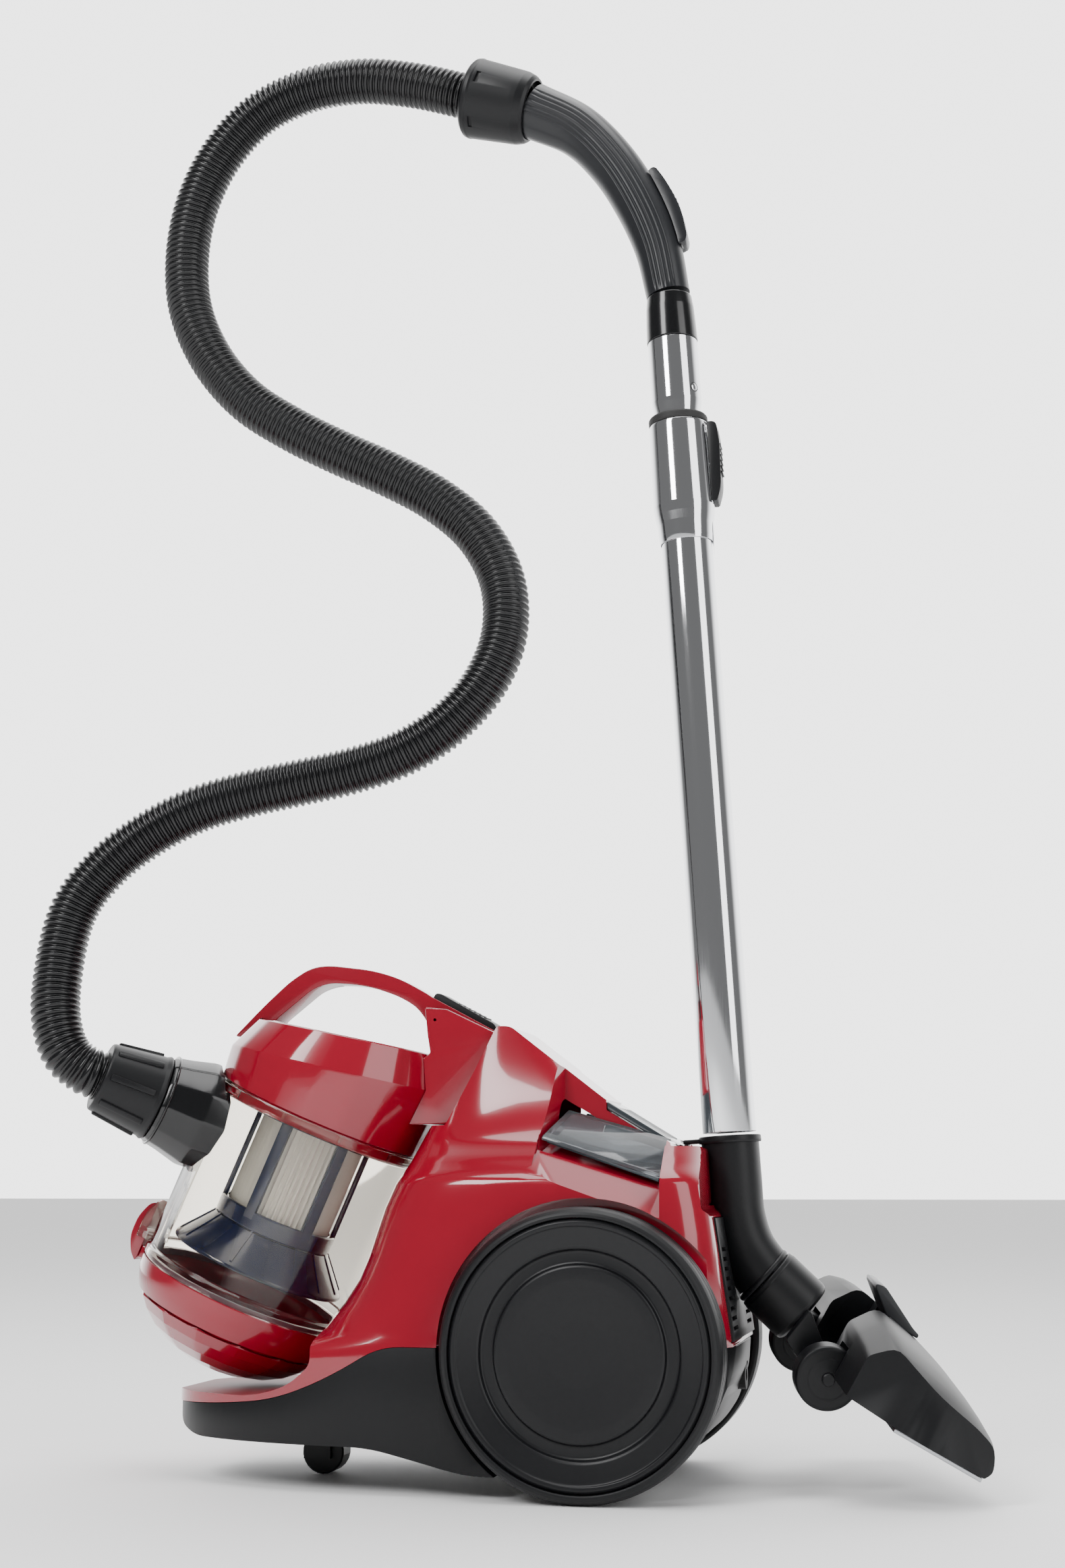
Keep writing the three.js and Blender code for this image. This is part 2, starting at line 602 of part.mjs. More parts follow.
function addCup() {
  add('cup_bin', cupBin(), 'clear');
  add('cup_lid', cupLid(), 'red');
  add('carry_handle', carryHandle(), 'red');
  add('release_button', releaseButton(), 'black');
  add('filter_cage', filterCage(), 'blue');
  add('filter_pleats', filterPleats(), 'white');
  add('filter_skirt', filterSkirt(), 'blue');
  add('lid_seal', onCup(ringSolid(34.4, 40, 124, 127, 22)), 'rubber');
  add('cup_door', cupDoor(), 'red');
  add('door_seal', onCup(ringSolid(66.5, 69.6, -1.6, 2.6, 22)), 'rubber');
  add('door_pin', onCup(rod(1.3, -19, 19, 12).rotateX(Math.PI / 2).translate(74.6, 0, -3.6)), 'steel');
  add('door_latch', doorLatch(), 'red');
  add('inlet_elbow', inletElbow(), 'gloss');
  add('hose_collar', hoseCollar(), 'black');
}

// ---- hose ----
const hosePoints = [
  [-329.3, -74.5, 256.9], [-337.2, -79.5, 260.4], [-349, -84, 271], [-357, -84, 291], [-360, -80, 317],
  [-354, -72, 367], [-335, -65, 397], [-308, -58, 420], [-277, -52, 437], [-243, -45, 448],
  [-207, -39, 456], [-172, -33, 464], [-137, -28, 476], [-107, -22, 496], [-83, -17, 524],
  [-70, -12, 559], [-72, -8, 599], [-91, -4, 636], [-122, -1, 665], [-158, 0, 687], [-195, 0, 706],
  [-232, 0, 727], [-267, 0, 752], [-295, 0, 786], [-313, 0, 827], [-317, 0, 870], [-310, 0, 912],
  [-292, 0, 949], [-264, 0, 978], [-226, 0, 994], [-185, 0, 997], [-143, 0, 989], [-99.4, 0, 974.2],
];

// ---- handle and telescopic tube ----
const gripPoints = [
  [-51.6, 0, 957.9], [-26, 0, 943.5], [-10, 0, 927], [7.4, 0, 907.5], [20.8, 0, 886], [33, 0, 860],
  [41, 0, 836], [46.2, 0, 804.3],
];

function handleGrip() {
  const outer = taperTube(gripPoints, [20, 19, 18, 17.8, 17.8, 17, 16.2, 15.5], 20, 12);
  const inner = taperTube([[-62, 0, 962], ...gripPoints, [46.8, 0, 794]],
    [16.5, 16.5, 16, 15.5, 15.2, 15.2, 14.6, 14, 13, 13], 10, 8);
  return cut(outer, inner);
}

function hoseCuff() {
  const dir = new THREE.Vector3(0.949, 0, -0.316);
  const frame = axisFrame(new THREE.Vector3(-99.1, 0, 974.1), dir, new THREE.Vector3(0, 1, 0));
  const g = turned([
    [17, 0], [25, 0], [28.4, 4], [28.4, 6], [25.8, 43], [23, 49.6], [20.8, 49.6], [20.8, 44], [17, 44], [17, 0],
  ], 20);
  const slot = box(-3, 3, -29.5, -26.6, 9, 13);
  return cut(g, slot).applyMatrix4(frame);
}

function gripSocket() {
  return onWand(turned([
    [13.5, 553.3], [17.9, 553.3], [17.9, 556], [17, 577], [15.8, 587.5], [13.5, 587.5], [13.5, 553.3],
  ], 22));
}

function ventSlider() {
  const plate = prism([[31.5, 895], [36.5, 900], [39.5, 899.5], [51, 880], [58, 862], [61, 846.5], [60, 841.5],
    [50, 838], [40, 870]], -8.5, 8.5);
  const grown = taperTube(gripPoints, [21, 20, 19, 18.8, 18.8, 18, 17.2, 16.5], 20, 12);
  return cut(plate, grown);
}

function innerTube() {
  return onWand(turned([
    [14.3, 70], [INNER_TUBE_R, 70], [INNER_TUBE_R, 497.6], [17.45, 507], [17.45, 553], [14.3, 553], [14.3, 70],
  ], 20));
}

function outerTube() {
  return onWand(turned([
    [16, 3.5], [TUBE_R, 3.5], [TUBE_R, SLEEVE_TOP - 2], [16, SLEEVE_TOP - 2], [16, 3.5],
  ], 20));
}

function sleeve() {
  const body = turned([
    [17.8, 405], [18.6, 405], [19, 414], [21.4, 430], [20.4, SLEEVE_TOP], [17.8, SLEEVE_TOP], [17.8, 405],
  ], 20);
  return onWand(cut(body, box(17.85, 30, -8.4, 8.4, 431, 490)));
}

function lockButton() {
  const body = prism([[20.4, 432], [24, 431.6], [27.4, 442], [28.6, 474], [27, 488], [24.5, 489.6], [20.4, 489.6]],
    -8, 8);
  return onWand(body);
}

function addWand() {
  add('hose_cuff', hoseCuff(), 'black');
  add('handle_grip', handleGrip(), 'grey');
  add('vent_slider', ventSlider(), 'grey');
  add('grip_socket', gripSocket(), 'gloss');
  add('inner_tube', innerTube(), 'chrome');
  add('tube_seal', onWand(ringSolid(15.9, 20.6, SLEEVE_TOP + 0.3, SLEEVE_TOP + 6, 22)), 'rubber');
  add('tube_sleeve', sleeve(), 'chrome');
  add('lock_button', lockButton(), 'black');
  add('outer_tube', outerTube(), 'chrome');
}

// ---- neck and floor nozzle ----
function neckElbow() {
  const outer = taperTube(elbowPath, [18.8, 18.8, 18.8, 19, 19.6], 24, 9);
  const inner = taperTube([[78.6, 0, 226], ...elbowPath, [110, 2, 119]], [16, 16, 16, 16, 16, 16, 16], 12, 7);
  const rim = onWand(rod(20.2, -3.2, 1.4, 20));
  const tab = onWand(box(-30, -17.5, -6.6, 6.6, -2.6, 0.2));
  const tongue = onWand(box(-29.5, -27, -6.2, 6.2, -16, 0));
  const end = onNeck(rod(21.2, -3, -0.2, 20));
  return cut(join(outer, rim, tab, tongue, end), inner, onNeck(rod(40, 0, 40, 12)));
}

function swivel() {
  const tube = onNeck(cut(turned([
    [0, 0.4], [21.6, 0.4], [22.4, 3], [22.4, 30], [20, 33], [0, 33],
  ], 22), rod(16.4, -2, 22, 16)));
  const cheek = prism([[-26, 4], [-6, -6.5], [4, -7], [7.6, 0], [4, 7], [-6, 15], [-22, 28]], 14.6, 21.4);
  const cheeks = [cheek, cheek.clone().scale(1, -1, 1)];
  const pin = rod(4, -56, 56, 20).rotateX(Math.PI / 2);
  return join(tube, ...cheeks.map((c) => onNozzle(c)), onNozzle(pin));
}

function nozzleProfile(y, height, front, low) {
  const pts = [[24 * (1 - low) + 1, 3], [1, 8], [0.5, 34 * height], [12, 50 * height], [32, 46.5 * height],
    [53, 42 * height], [74, 35 * height], [88, 28 * height], [front - 2, 18 * height], [front, 8],
    [front - 3, 3.2], [54, 3]];
  return pts.map(([x, z]) => new THREE.Vector3(x, y, z));
}

function nozzleShell() {
  const stations = [[-NOZZLE_HALF, 0.74, 93], [-104, 0.86, 97], [-60, 0.98, 98], [-20, 1.02, 98],
    [20, 1.02, 98], [60, 0.98, 98], [104, 0.86, 97], [NOZZLE_HALF, 0.74, 93]];
  const skin = loft(stations.map(([y, h, f]) => nozzleProfile(y, h, f, 1)));
  const mouth = box(36, 84, -104, 104, -5, 14);
  const throat = box(30, 70, -30, 30, 5, 20);
  const inlet = box(20, 40, -13, 13, 10, 30);
  const rear = join(box(-10, 25, -28, 28, -5, 70), box(-10, 24, -56.5, -36.5, -5, 23),
    box(-10, 24, 36.5, 56.5, -5, 23), rod(5.4, -60, 60, 16).rotateX(Math.PI / 2));
  const plan = loft([0, 70].map((t) => [[-2, -97], [45, -118.5], [99, -111], [99, 111], [45, 118.5], [-2, 97]]
    .map(([f, y]) => new THREE.Vector3(f, y, t))));
  const tongue = prism([[-5, -6.2], [26, 4.2], [26, 12], [4, 7.6], [-5, 6.2], [-7.8, 0]], -14.1, 14.1);
  const bore = rod(4.4, -20, 20, 20).rotateX(Math.PI / 2);
  const seat = box(5, 49, -16.4, 16.4, 40, 80);
  return onNozzle(cut(join(cut(common(skin, plan), mouth, throat, inlet, rear, seat), tongue), bore));
}

function solePlate() {
  const plate = box(32, 92, -110, 110, 0, 2.7);
  const mouth = box(40, 78, -100, 100, -2, 6);
  return onNozzle(cut(plate, mouth));
}

function addNozzle() {
  add('neck_elbow', neckElbow(), 'black');
  add('swivel_neck', swivel(), 'black');
  add('nozzle_shell', nozzleShell(), 'gloss');
  add('sole_plate', solePlate(), 'steel');
  for (const [name, y] of [['near', -46], ['far', 46]]) {
    const w = turned([[4.4, -8], [18, -8], [20, -6], [20, 6], [18, 8], [4.4, 8], [4.4, -8]], 22);
    add(`nozzle_wheel_${name}`, onNozzle(w.rotateX(Math.PI / 2).translate(0, y, 0)), 'black');
  }
  const pedal = prism([[27, 45], [48, 45], [48, 47.4], [43, 49], [14, 63.5], [8, 62], [9, 59.5]], -15, 15);
  add('nozzle_pedal', onNozzle(pedal), 'grey');
  const strip = join(box(41, 43.4, -98, 98, -3, 12), box(41, 47, -98, 98, 9.5, 12));
  add('brush_strip', onNozzle(strip), 'rubber');
}

addCanister();
addInside();
addCaster();
addCup();
add('hose', sweep(hosePoints, HOSE_R, 8, 60), 'black');
addWand();
addNozzle();

// ---- the canister, tube and nozzle stand centred over the origin, lowest point on Z = 0 ----
const bounds = new THREE.Box3();
for (const mesh of group.children) {
  if (mesh.name !== 'hose') bounds.expandByObject(mesh);
}
const shift = new THREE.Vector3(
  -(bounds.min.x + bounds.max.x) / 2, -(bounds.min.y + bounds.max.y) / 2, -bounds.min.z);
for (const mesh of group.children) mesh.geometry.translate(shift.x, shift.y, shift.z);

export default group;
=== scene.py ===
import json
import math

import bmesh
import bpy
import numpy as np
from mathutils import Matrix, Vector

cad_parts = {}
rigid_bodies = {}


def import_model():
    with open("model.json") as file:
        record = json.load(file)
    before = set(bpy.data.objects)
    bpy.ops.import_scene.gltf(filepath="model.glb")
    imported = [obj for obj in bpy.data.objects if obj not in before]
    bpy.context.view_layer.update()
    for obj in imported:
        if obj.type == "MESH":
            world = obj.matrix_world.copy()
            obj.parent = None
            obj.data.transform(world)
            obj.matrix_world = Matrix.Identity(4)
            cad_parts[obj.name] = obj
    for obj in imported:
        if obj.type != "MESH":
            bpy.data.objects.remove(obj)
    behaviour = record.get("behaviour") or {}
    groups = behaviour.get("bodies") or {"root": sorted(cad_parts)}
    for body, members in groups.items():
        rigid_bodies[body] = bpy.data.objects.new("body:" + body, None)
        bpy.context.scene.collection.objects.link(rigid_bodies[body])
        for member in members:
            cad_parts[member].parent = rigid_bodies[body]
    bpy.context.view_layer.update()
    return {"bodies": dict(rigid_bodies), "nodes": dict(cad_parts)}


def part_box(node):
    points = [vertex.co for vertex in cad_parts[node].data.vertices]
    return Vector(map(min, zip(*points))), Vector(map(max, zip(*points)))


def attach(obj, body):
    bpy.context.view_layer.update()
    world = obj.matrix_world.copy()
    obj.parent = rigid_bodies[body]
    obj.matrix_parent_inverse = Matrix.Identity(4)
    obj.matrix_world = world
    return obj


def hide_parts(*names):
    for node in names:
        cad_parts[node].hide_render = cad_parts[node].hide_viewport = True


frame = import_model()

# ---- the CAD frame: millimetres from the rear axle at floor level, front of the canister -X ----
tyre_low, tyre_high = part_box("tyre_left")
TYRE_INNER_Y = 0.090
SHIFT = Vector(((tyre_low.x + tyre_high.x) / 2, tyre_high.y + TYRE_INNER_Y, 0.0))


def P(x, y, z):
    """A point of the CAD, in the frame's metres."""
    return Vector((x, y, z)) * 0.001 + SHIFT


WORLD = Matrix.Translation(SHIFT) @ Matrix.Scale(0.001, 4)


def turn_y(angle):
    return Matrix.Rotation(angle, 4, "Y")


def turn_z(angle):
    return Matrix.Rotation(angle, 4, "Z")


def basis(origin, x, y, z):
    m = Matrix((x, y, z)).transposed().to_4x4()
    m.translation = Vector(origin)
    return m


def axis_basis(origin, z):
    """A place whose Z runs along the given direction."""
    z = Vector(z).normalized()
    y = z.cross(Vector((0, 1, 0))).normalized()
    return basis(origin, y.cross(z), y, z)


WHEEL_R, WELL_LENGTH = 86.5, 60
CUP_R, CUP_H, DOOR_R, DOOR_DEPTH = 72.5, 127.0, 74.2, 54.0
CUP_LEAN, INLET_TURN, WAND_LEAN = math.radians(23.49), math.radians(30), math.radians(-3.18)
INLET_HEIGHT = 98
ACROSS = Matrix.Rotation(math.pi / 2, 4, "X")
CUP = Matrix.Translation((-250, 0, 115.5)) @ turn_y(CUP_LEAN)
INLET = CUP @ Matrix.Translation((0, 0, INLET_HEIGHT)) @ turn_z(INLET_TURN) @ turn_y(-math.pi / 2)
WAND = Matrix.Translation((79.3, 0, 216)) @ turn_y(WAND_LEAN)
NECK_DIR = Vector((0.715, 0.11, -0.69)).normalized()
NECK = axis_basis((100.6, 1, 127.6), NECK_DIR)
FRONT = Vector((0.8178, 0.3007, -0.4907)).normalized()
UP = FRONT.cross(Vector((-0.249, 0.953, 0.169))).normalized()
SIDE = UP.cross(FRONT).normalized()
NOZZLE = basis((129, 5, 78), FRONT, SIDE, UP)
CUFF = axis_basis((-99.1, 0, 974.1), (0.949, 0, -0.316))
SEAT = axis_basis((-84, 0, 257), (-0.9, 0, 0.433))
BUTTON = Matrix.Translation((-96.2, 0, 298.6)) @ turn_y(0.487)

# ---- camera, at the photograph's angle ----
cam = bpy.data.cameras.new("camera")
cam.lens = 48.0
cam.sensor_width = 36.0
cam.sensor_fit = "AUTO"
cam.clip_end = 200.0
cam_obj = bpy.data.objects.new("camera", cam)
bpy.context.scene.collection.objects.link(cam_obj)
look = Vector((-0.20416, 0.96049, 0.18910)).normalized()
right = look.cross(Vector((0, 0, 1))).normalized()
CAMERA_AT = (240.8, -1379, 184.8)
cam_obj.matrix_world = basis(P(*CAMERA_AT), right, right.cross(look), -look)
bpy.context.scene.camera = cam_obj


# ---- mesh helpers ----
def make(name, verts, faces, matrix=None, angle=32):
    mesh = bpy.data.meshes.new(name)
    mesh.from_pydata([tuple(v) for v in verts], [], faces)
    mesh.transform(WORLD @ matrix if matrix is not None else WORLD)
    bm = bmesh.new()
    bm.from_mesh(mesh)
    bmesh.ops.remove_doubles(bm, verts=bm.verts, dist=1e-6)
    bmesh.ops.recalc_face_normals(bm, faces=bm.faces)
    bm.to_mesh(mesh)
    bm.free()
    obj = bpy.data.objects.new(name, mesh)
    bpy.context.scene.collection.objects.link(obj)
    smooth(obj, angle)
    return obj


def smooth(obj, angle=32):
    mesh = obj.data
    for p in mesh.polygons:
        p.use_smooth = True
    bm = bmesh.new()
    bm.from_mesh(mesh)
    limit = math.radians(angle)
    for e in bm.edges:
        e.smooth = len(e.link_faces) == 2 and e.calc_face_angle(0) < limit
    bm.to_mesh(mesh)
    bm.free()


def apply_mods(obj):
    """The modifiers' result becomes the mesh."""
    bpy.context.view_layer.update()
    dg = bpy.context.evaluated_depsgraph_get()
    mesh = bpy.data.meshes.new_from_object(obj.evaluated_get(dg))
    obj.modifiers.clear()
    obj.data = mesh


def combine(obj, tool, how="DIFFERENCE"):
    """A boolean of two meshes, which uses up the tool."""
    mod = obj.modifiers.new("cut", "BOOLEAN")
    mod.operation = how
    mod.object = tool
    mod.solver = "EXACT"
    apply_mods(obj)
    bpy.data.objects.remove(tool)


def cut_all(obj, tools):
    for tool in tools:
        combine(obj, tool)


def bevel(obj, width, segments=2, angle=30, keep_smooth=32):
    mod = obj.modifiers.new("bevel", "BEVEL")
    mod.width = width * 0.001
    mod.segments = segments
    mod.limit_method = "ANGLE"
    mod.angle_limit = math.radians(angle)
    mod.use_clamp_overlap = True
    apply_mods(obj)
    smooth(obj, keep_smooth)


def join(objs, name):
    """One object out of several, keeping each one's materials."""
    base = objs[0]
    bm = bmesh.new()
    mats = []
    for o in objs:
        slot_of = {}
        for i, m in enumerate(o.data.materials):
            if m not in mats:
                mats.append(m)
            slot_of[i] = mats.index(m)
        start = len(bm.faces)
        bm.from_mesh(o.data)
        bm.faces.ensure_lookup_table()
        for f in bm.faces[start:]:
            f.material_index = slot_of.get(f.material_index, 0)
    mesh = bpy.data.meshes.new(name)
    bm.to_mesh(mesh)
    bm.free()
    for m in mats:
        mesh.materials.append(m)
    for o in objs[1:]:
        bpy.data.objects.remove(o)
    base.data = mesh
    base.name = name
    return base


def corner_round(points, radius, steps=4, closed=True):
    """A polyline with its corners rounded."""
    out = []
    n = len(points)
    for i in range(n):
        p = Vector(points[i])
        if not closed and i in (0, n - 1):
            out.append(tuple(p))
            continue
        a = Vector(points[i - 1]) - p
        b = Vector(points[(i + 1) % n]) - p
        r = radius[i] if hasattr(radius, "__len__") else radius
        r = min(r, a.length * 0.48, b.length * 0.48)
        if r < 0.01:
            out.append(tuple(p))
            continue
        s, e = p + a.normalized() * r, p + b.normalized() * r
        for k in range(steps + 1):
            t = k / steps
            out.append(tuple(s * (1 - t) ** 2 + p * 2 * t * (1 - t) + e * t ** 2))
    return out


def lathe(name, profile, matrix, segments=96, rounding=0.0, angle=32):
    """A turned piece about Z. The profile is closed on itself, or runs from axis to axis."""
    ring = profile[0][0] > 1e-6
    if rounding:
        profile = corner_round(profile, rounding, closed=ring)
    verts, faces = [], []
    n = len(profile)
    for i in range(segments):
        a = 2 * math.pi * i / segments
        for r, z in profile:
            verts.append((r * math.cos(a), r * math.sin(a), z))
    last = n if ring else n - 1
    for i in range(segments):
        j = (i + 1) % segments
        for k in range(last):
            q = (k + 1) % n
            if profile[k][0] < 1e-6 and profile[q][0] < 1e-6:
                continue
            face = [i * n + k, j * n + k, j * n + q, i * n + q]
            if profile[k][0] < 1e-6:
                face = [i * n + k, j * n + q, i * n + q]
            elif profile[q][0] < 1e-6:
                face = [i * n + k, j * n + k, i * n + q]
            faces.append(face)
    return make(name, verts, faces, matrix, angle)


def loft(name, rings, matrix=None, angle=32):
    """A skin over rings that have the same number of points, closed at both ends."""
    n = len(rings[0])
    verts = [v for ring in rings for v in ring]
    faces = []
    for k in range(len(rings) - 1):
        for i in range(n):
            j = (i + 1) % n
            faces.append([k * n + i, k * n + j, (k + 1) * n + j, (k + 1) * n + i])
    faces.append(list(range(n))[::-1])
    faces.append([(len(rings) - 1) * n + i for i in range(n)])
    return make(name, verts, faces, matrix, angle)


def prism(name, section, y0, y1, matrix=None):
    """A section in X and Z, carried from y0 to y1."""
    n = len(section)
    verts = [(x, y0, z) for x, z in section] + [(x, y1, z) for x, z in section]
    faces = [[i, (i + 1) % n, n + (i + 1) % n, n + i] for i in range(n)]
    faces += [list(range(n))[::-1], [n + i for i in range(n)]]
    return make(name, verts, faces, matrix)


def block(name, start, end, matrix=None):
    (x0, y0, z0), (x1, y1, z1) = start, end
    return prism(name, [(x0, z0), (x1, z0), (x1, z1), (x0, z1)], y0, y1, matrix)


SPAN_STEPS = 24


def catmull(points, samples):
    """A centripetal Catmull-Rom curve through points, evenly spaced, and its length."""
    p = [Vector(q) for q in points]
    p = [p[0] * 2 - p[1]] + p + [p[-1] * 2 - p[-2]]
    fine = []
    for i in range(1, len(p) - 2):
        a, b, c, d = p[i - 1], p[i], p[i + 1], p[i + 2]
        t0 = 0.0
        t1 = t0 + (b - a).length ** 0.5
        t2 = t1 + (c - b).length ** 0.5
        t3 = t2 + (d - c).length ** 0.5
        for k in range(SPAN_STEPS):
            t = t1 + (t2 - t1) * k / SPAN_STEPS
            a1 = a * ((t1 - t) / (t1 - t0)) + b * ((t - t0) / (t1 - t0))
            a2 = b * ((t2 - t) / (t2 - t1)) + c * ((t - t1) / (t2 - t1))
            a3 = c * ((t3 - t) / (t3 - t2)) + d * ((t - t2) / (t3 - t2))
            b1 = a1 * ((t2 - t) / (t2 - t0)) + a2 * ((t - t0) / (t2 - t0))
            b2 = a2 * ((t3 - t) / (t3 - t1)) + a3 * ((t - t1) / (t3 - t1))
            fine.append(b1 * ((t2 - t) / (t2 - t1)) + b2 * ((t - t1) / (t2 - t1)))
    fine.append(p[-2])
    run = [0.0]
    for a, b in zip(fine, fine[1:]):
        run.append(run[-1] + (b - a).length)
    out = []
    k = 0
    for s in np.linspace(0, run[-1], samples):
        while k < len(fine) - 2 and run[k + 1] < s:
            k += 1
        span = max(run[k + 1] - run[k], 1e-9)
        out.append(fine[k].lerp(fine[k + 1], min(max((s - run[k]) / span, 0), 1)))
    return out, run[-1]


def frames_along(line):
    """Tangent, side and up at each point of a line, carried along without twist."""
    out = []
    side = Vector((0, 1, 0))
    for i in range(len(line)):
        t = (line[min(i + 1, len(line) - 1)] - line[max(i - 1, 0)]).normalized()
        side = (side - t * side.dot(t)).normalized()
        out.append((t, side, t.cross(side)))
    return out


def tube(name, line, radius, sides, shape=None, angle=40):
    """A swept tube. radius(u) is its size at u, from 0 to 1, and shape(angle, u) a factor on it."""
    n = len(line)
    rings = []
    for i, (p, (_, side, up)) in enumerate(zip(line, frames_along(line))):
        u = i / (n - 1)
        r = radius(u)
        ring = []
        for k in range(sides):
            a = 2 * math.pi * k / sides
            f = shape(a, u) if shape else 1.0
            ring.append(p + side * (math.cos(a) * r * f) + up * (math.sin(a) * r * f))
        rings.append(ring)
    return loft(name, rings, None, angle)


def table_of(values):
    """A smooth function of 0..1 through evenly spaced values."""
    xs = np.linspace(0, 1, len(values))
    return lambda u: float(np.interp(u, xs, values))


# ---- materials ----
def new_material(name):
    mat = bpy.data.materials.new(name)
    mat.use_nodes = True
    return mat, mat.node_tree.nodes, mat.node_tree.links, mat.node_tree.nodes["Principled BSDF"]


def noise(nodes, links, place, scale, detail):
    tex = nodes.new("ShaderNodeTexNoise")
    tex.inputs["Scale"].default_value = scale
    tex.inputs["Detail"].default_value = detail
    links.new(place, tex.inputs["Vector"])
    return tex.outputs["Fac"]


def vary_roughness(nodes, links, bsdf, value, least, most):
    ramp = nodes.new("ShaderNodeMapRange")
    ramp.inputs["To Min"].default_value = least
    ramp.inputs["To Max"].default_value = most
    links.new(value, ramp.inputs["Value"])
    links.new(ramp.outputs["Result"], bsdf.inputs["Roughness"])


def plastic(name, color, rough, coat, grain, bump, vary, tone, spec=0.5, metal=0.0):
    """Fine grain in the surface, and broad faint changes in gloss and tone."""
    mat, nodes, links, bsdf = new_material(name)
    place = nodes.new("ShaderNodeTexCoord").outputs["Object"]
    fine = noise(nodes, links, place, grain, 3)
    broad = noise(nodes, links, place, 14, 4)
    vary_roughness(nodes, links, bsdf, broad, rough - vary, rough + vary)
    mix = nodes.new("ShaderNodeMix")
    mix.data_type = "RGBA"
    mix.inputs["A"].default_value = (*[c * (1 - tone) for c in color], 1)
    mix.inputs["B"].default_value = (*[min(c * (1 + tone), 1) for c in color], 1)
    links.new(broad, mix.inputs["Factor"])
    links.new(mix.outputs["Result"], bsdf.inputs["Base Color"])
    b = nodes.new("ShaderNodeBump")
    b.inputs["Strength"].default_value = bump
    b.inputs["Distance"].default_value = 0.0003
    links.new(fine, b.inputs["Height"])
    links.new(b.outputs["Normal"], bsdf.inputs["Normal"])
    bsdf.inputs["Coat Weight"].default_value = coat
    bsdf.inputs["Coat Roughness"].default_value = 0.04
    bsdf.inputs["Specular IOR Level"].default_value = spec
    bsdf.inputs["Metallic"].default_value = metal
    return mat


def clear(name, color, rough, ior, weight=1.0):
    """See-through plastic, a little cloudier in places."""
    mat, nodes, links, bsdf = new_material(name)
    place = nodes.new("ShaderNodeTexCoord").outputs["Object"]
    vary_roughness(nodes, links, bsdf, noise(nodes, links, place, 30, 2), rough * 0.5, rough * 2.0)
    bsdf.inputs["Base Color"].default_value = (*color, 1)
    bsdf.inputs["Transmission Weight"].default_value = weight
    bsdf.inputs["IOR"].default_value = ior
    return mat


def chrome(name):
    """Bright metal with faint scratches that run along the tube."""
    mat, nodes, links, bsdf = new_material(name)
    bsdf.inputs["Base Color"].default_value = (0.78, 0.79, 0.81, 1)
    bsdf.inputs["Metallic"].default_value = 1.0
    coord = nodes.new("ShaderNodeTexCoord")
    mapping = nodes.new("ShaderNodeMapping")
    mapping.inputs["Scale"].default_value = (30, 30, 1)
    links.new(coord.outputs["Object"], mapping.inputs["Vector"])
    scratch = noise(nodes, links, mapping.outputs["Vector"], 40, 2)
    vary_roughness(nodes, links, bsdf, scratch, 0.04, 0.11)
    return mat


RED = plastic("red_gloss", (0.27, 0.0035, 0.017), 0.15, 0.7, 700, 0.012, 0.04, 0.08, 0.4)
# Tray-top red: a real satin finish with less gloss, and a darker tone that is painted shade from the dome
# above the tray.
RED_SATIN_PAINTED_SHADE = plastic("red_satin_painted_shade", (0.20, 0.004, 0.012), 0.45, 0.0, 900, 0.05, 0.05, 0.1, 0.15)
BLACK = plastic("black_satin", (0.0052, 0.0055, 0.0065), 0.42, 0.0, 1400, 0.05, 0.06, 0.2, 0.28)
GLOSS = plastic("black_gloss", (0.0045, 0.0048, 0.0055), 0.20, 0.2, 900, 0.015, 0.05, 0.2, 0.4)
NOZZLE_BLACK = plastic("nozzle_black", (0.0055, 0.0058, 0.0068), 0.46, 0.0, 1100, 0.03, 0.06, 0.2, 0.22)
HOSE = plastic("hose_black", (0.0045, 0.0047, 0.0055), 0.27, 0.1, 1200, 0.015, 0.06, 0.2, 0.38)
GREY = plastic("charcoal", (0.012, 0.0128, 0.015), 0.34, 0.05, 1300, 0.02, 0.06, 0.15, 0.35)
PANEL = plastic("grey_gloss", (0.030, 0.036, 0.042), 0.16, 0.6, 900, 0.015, 0.04, 0.15)
WHEEL = plastic("wheel_black", (0.0055, 0.0058, 0.007), 0.38, 0.0, 1800, 0.09, 0.05, 0.2, 0.3)
TYRE = plastic("tyre_rubber", (0.0045, 0.0048, 0.0058), 0.45, 0.0, 1200, 0.08, 0.08, 0.2, 0.3)
SEAL = plastic("seal_rubber", (0.012, 0.012, 0.012), 0.65, 0.0, 1000, 0.1, 0.08, 0.2)
STEEL = plastic("steel", (0.45, 0.46, 0.48), 0.30, 0.0, 500, 0.05, 0.1, 0.1, metal=1.0)
FOAM = plastic("filter_foam", (0.75, 0.74, 0.70), 0.9, 0.0, 500, 0.8, 0.05, 0.15)
PAPER = plastic("filter_paper", (0.86, 0.85, 0.81), 0.85, 0.0, 800, 0.35, 0.05, 0.06)
BLUE = plastic("navy_plastic", (0.005, 0.012, 0.055), 0.22, 0.3, 900, 0.02, 0.05, 0.2)
BOARD = plastic("circuit_green", (0.02, 0.13, 0.05), 0.4, 0.2, 300, 0.3, 0.1, 0.3)
BRISTLE = plastic("bristle", (0.02, 0.02, 0.022), 0.6, 0.0, 2500, 0.6, 0.1, 0.3)
CLEAR = clear("clear_cup", (0.93, 0.90, 0.84), 0.02, 1.33)
SMOKE = clear("smoky_plastic", (0.42, 0.45, 0.48), 0.05, 1.45, 0.9)
RIM_SEAL = plastic("rim_seal", (0.16, 0.07, 0.10), 0.35, 0.1, 900, 0.05, 0.05, 0.15)
CHROME = chrome("chrome")


def paint(obj, mat):
    obj.data.materials.clear()
    obj.data.materials.append(mat)
    return obj


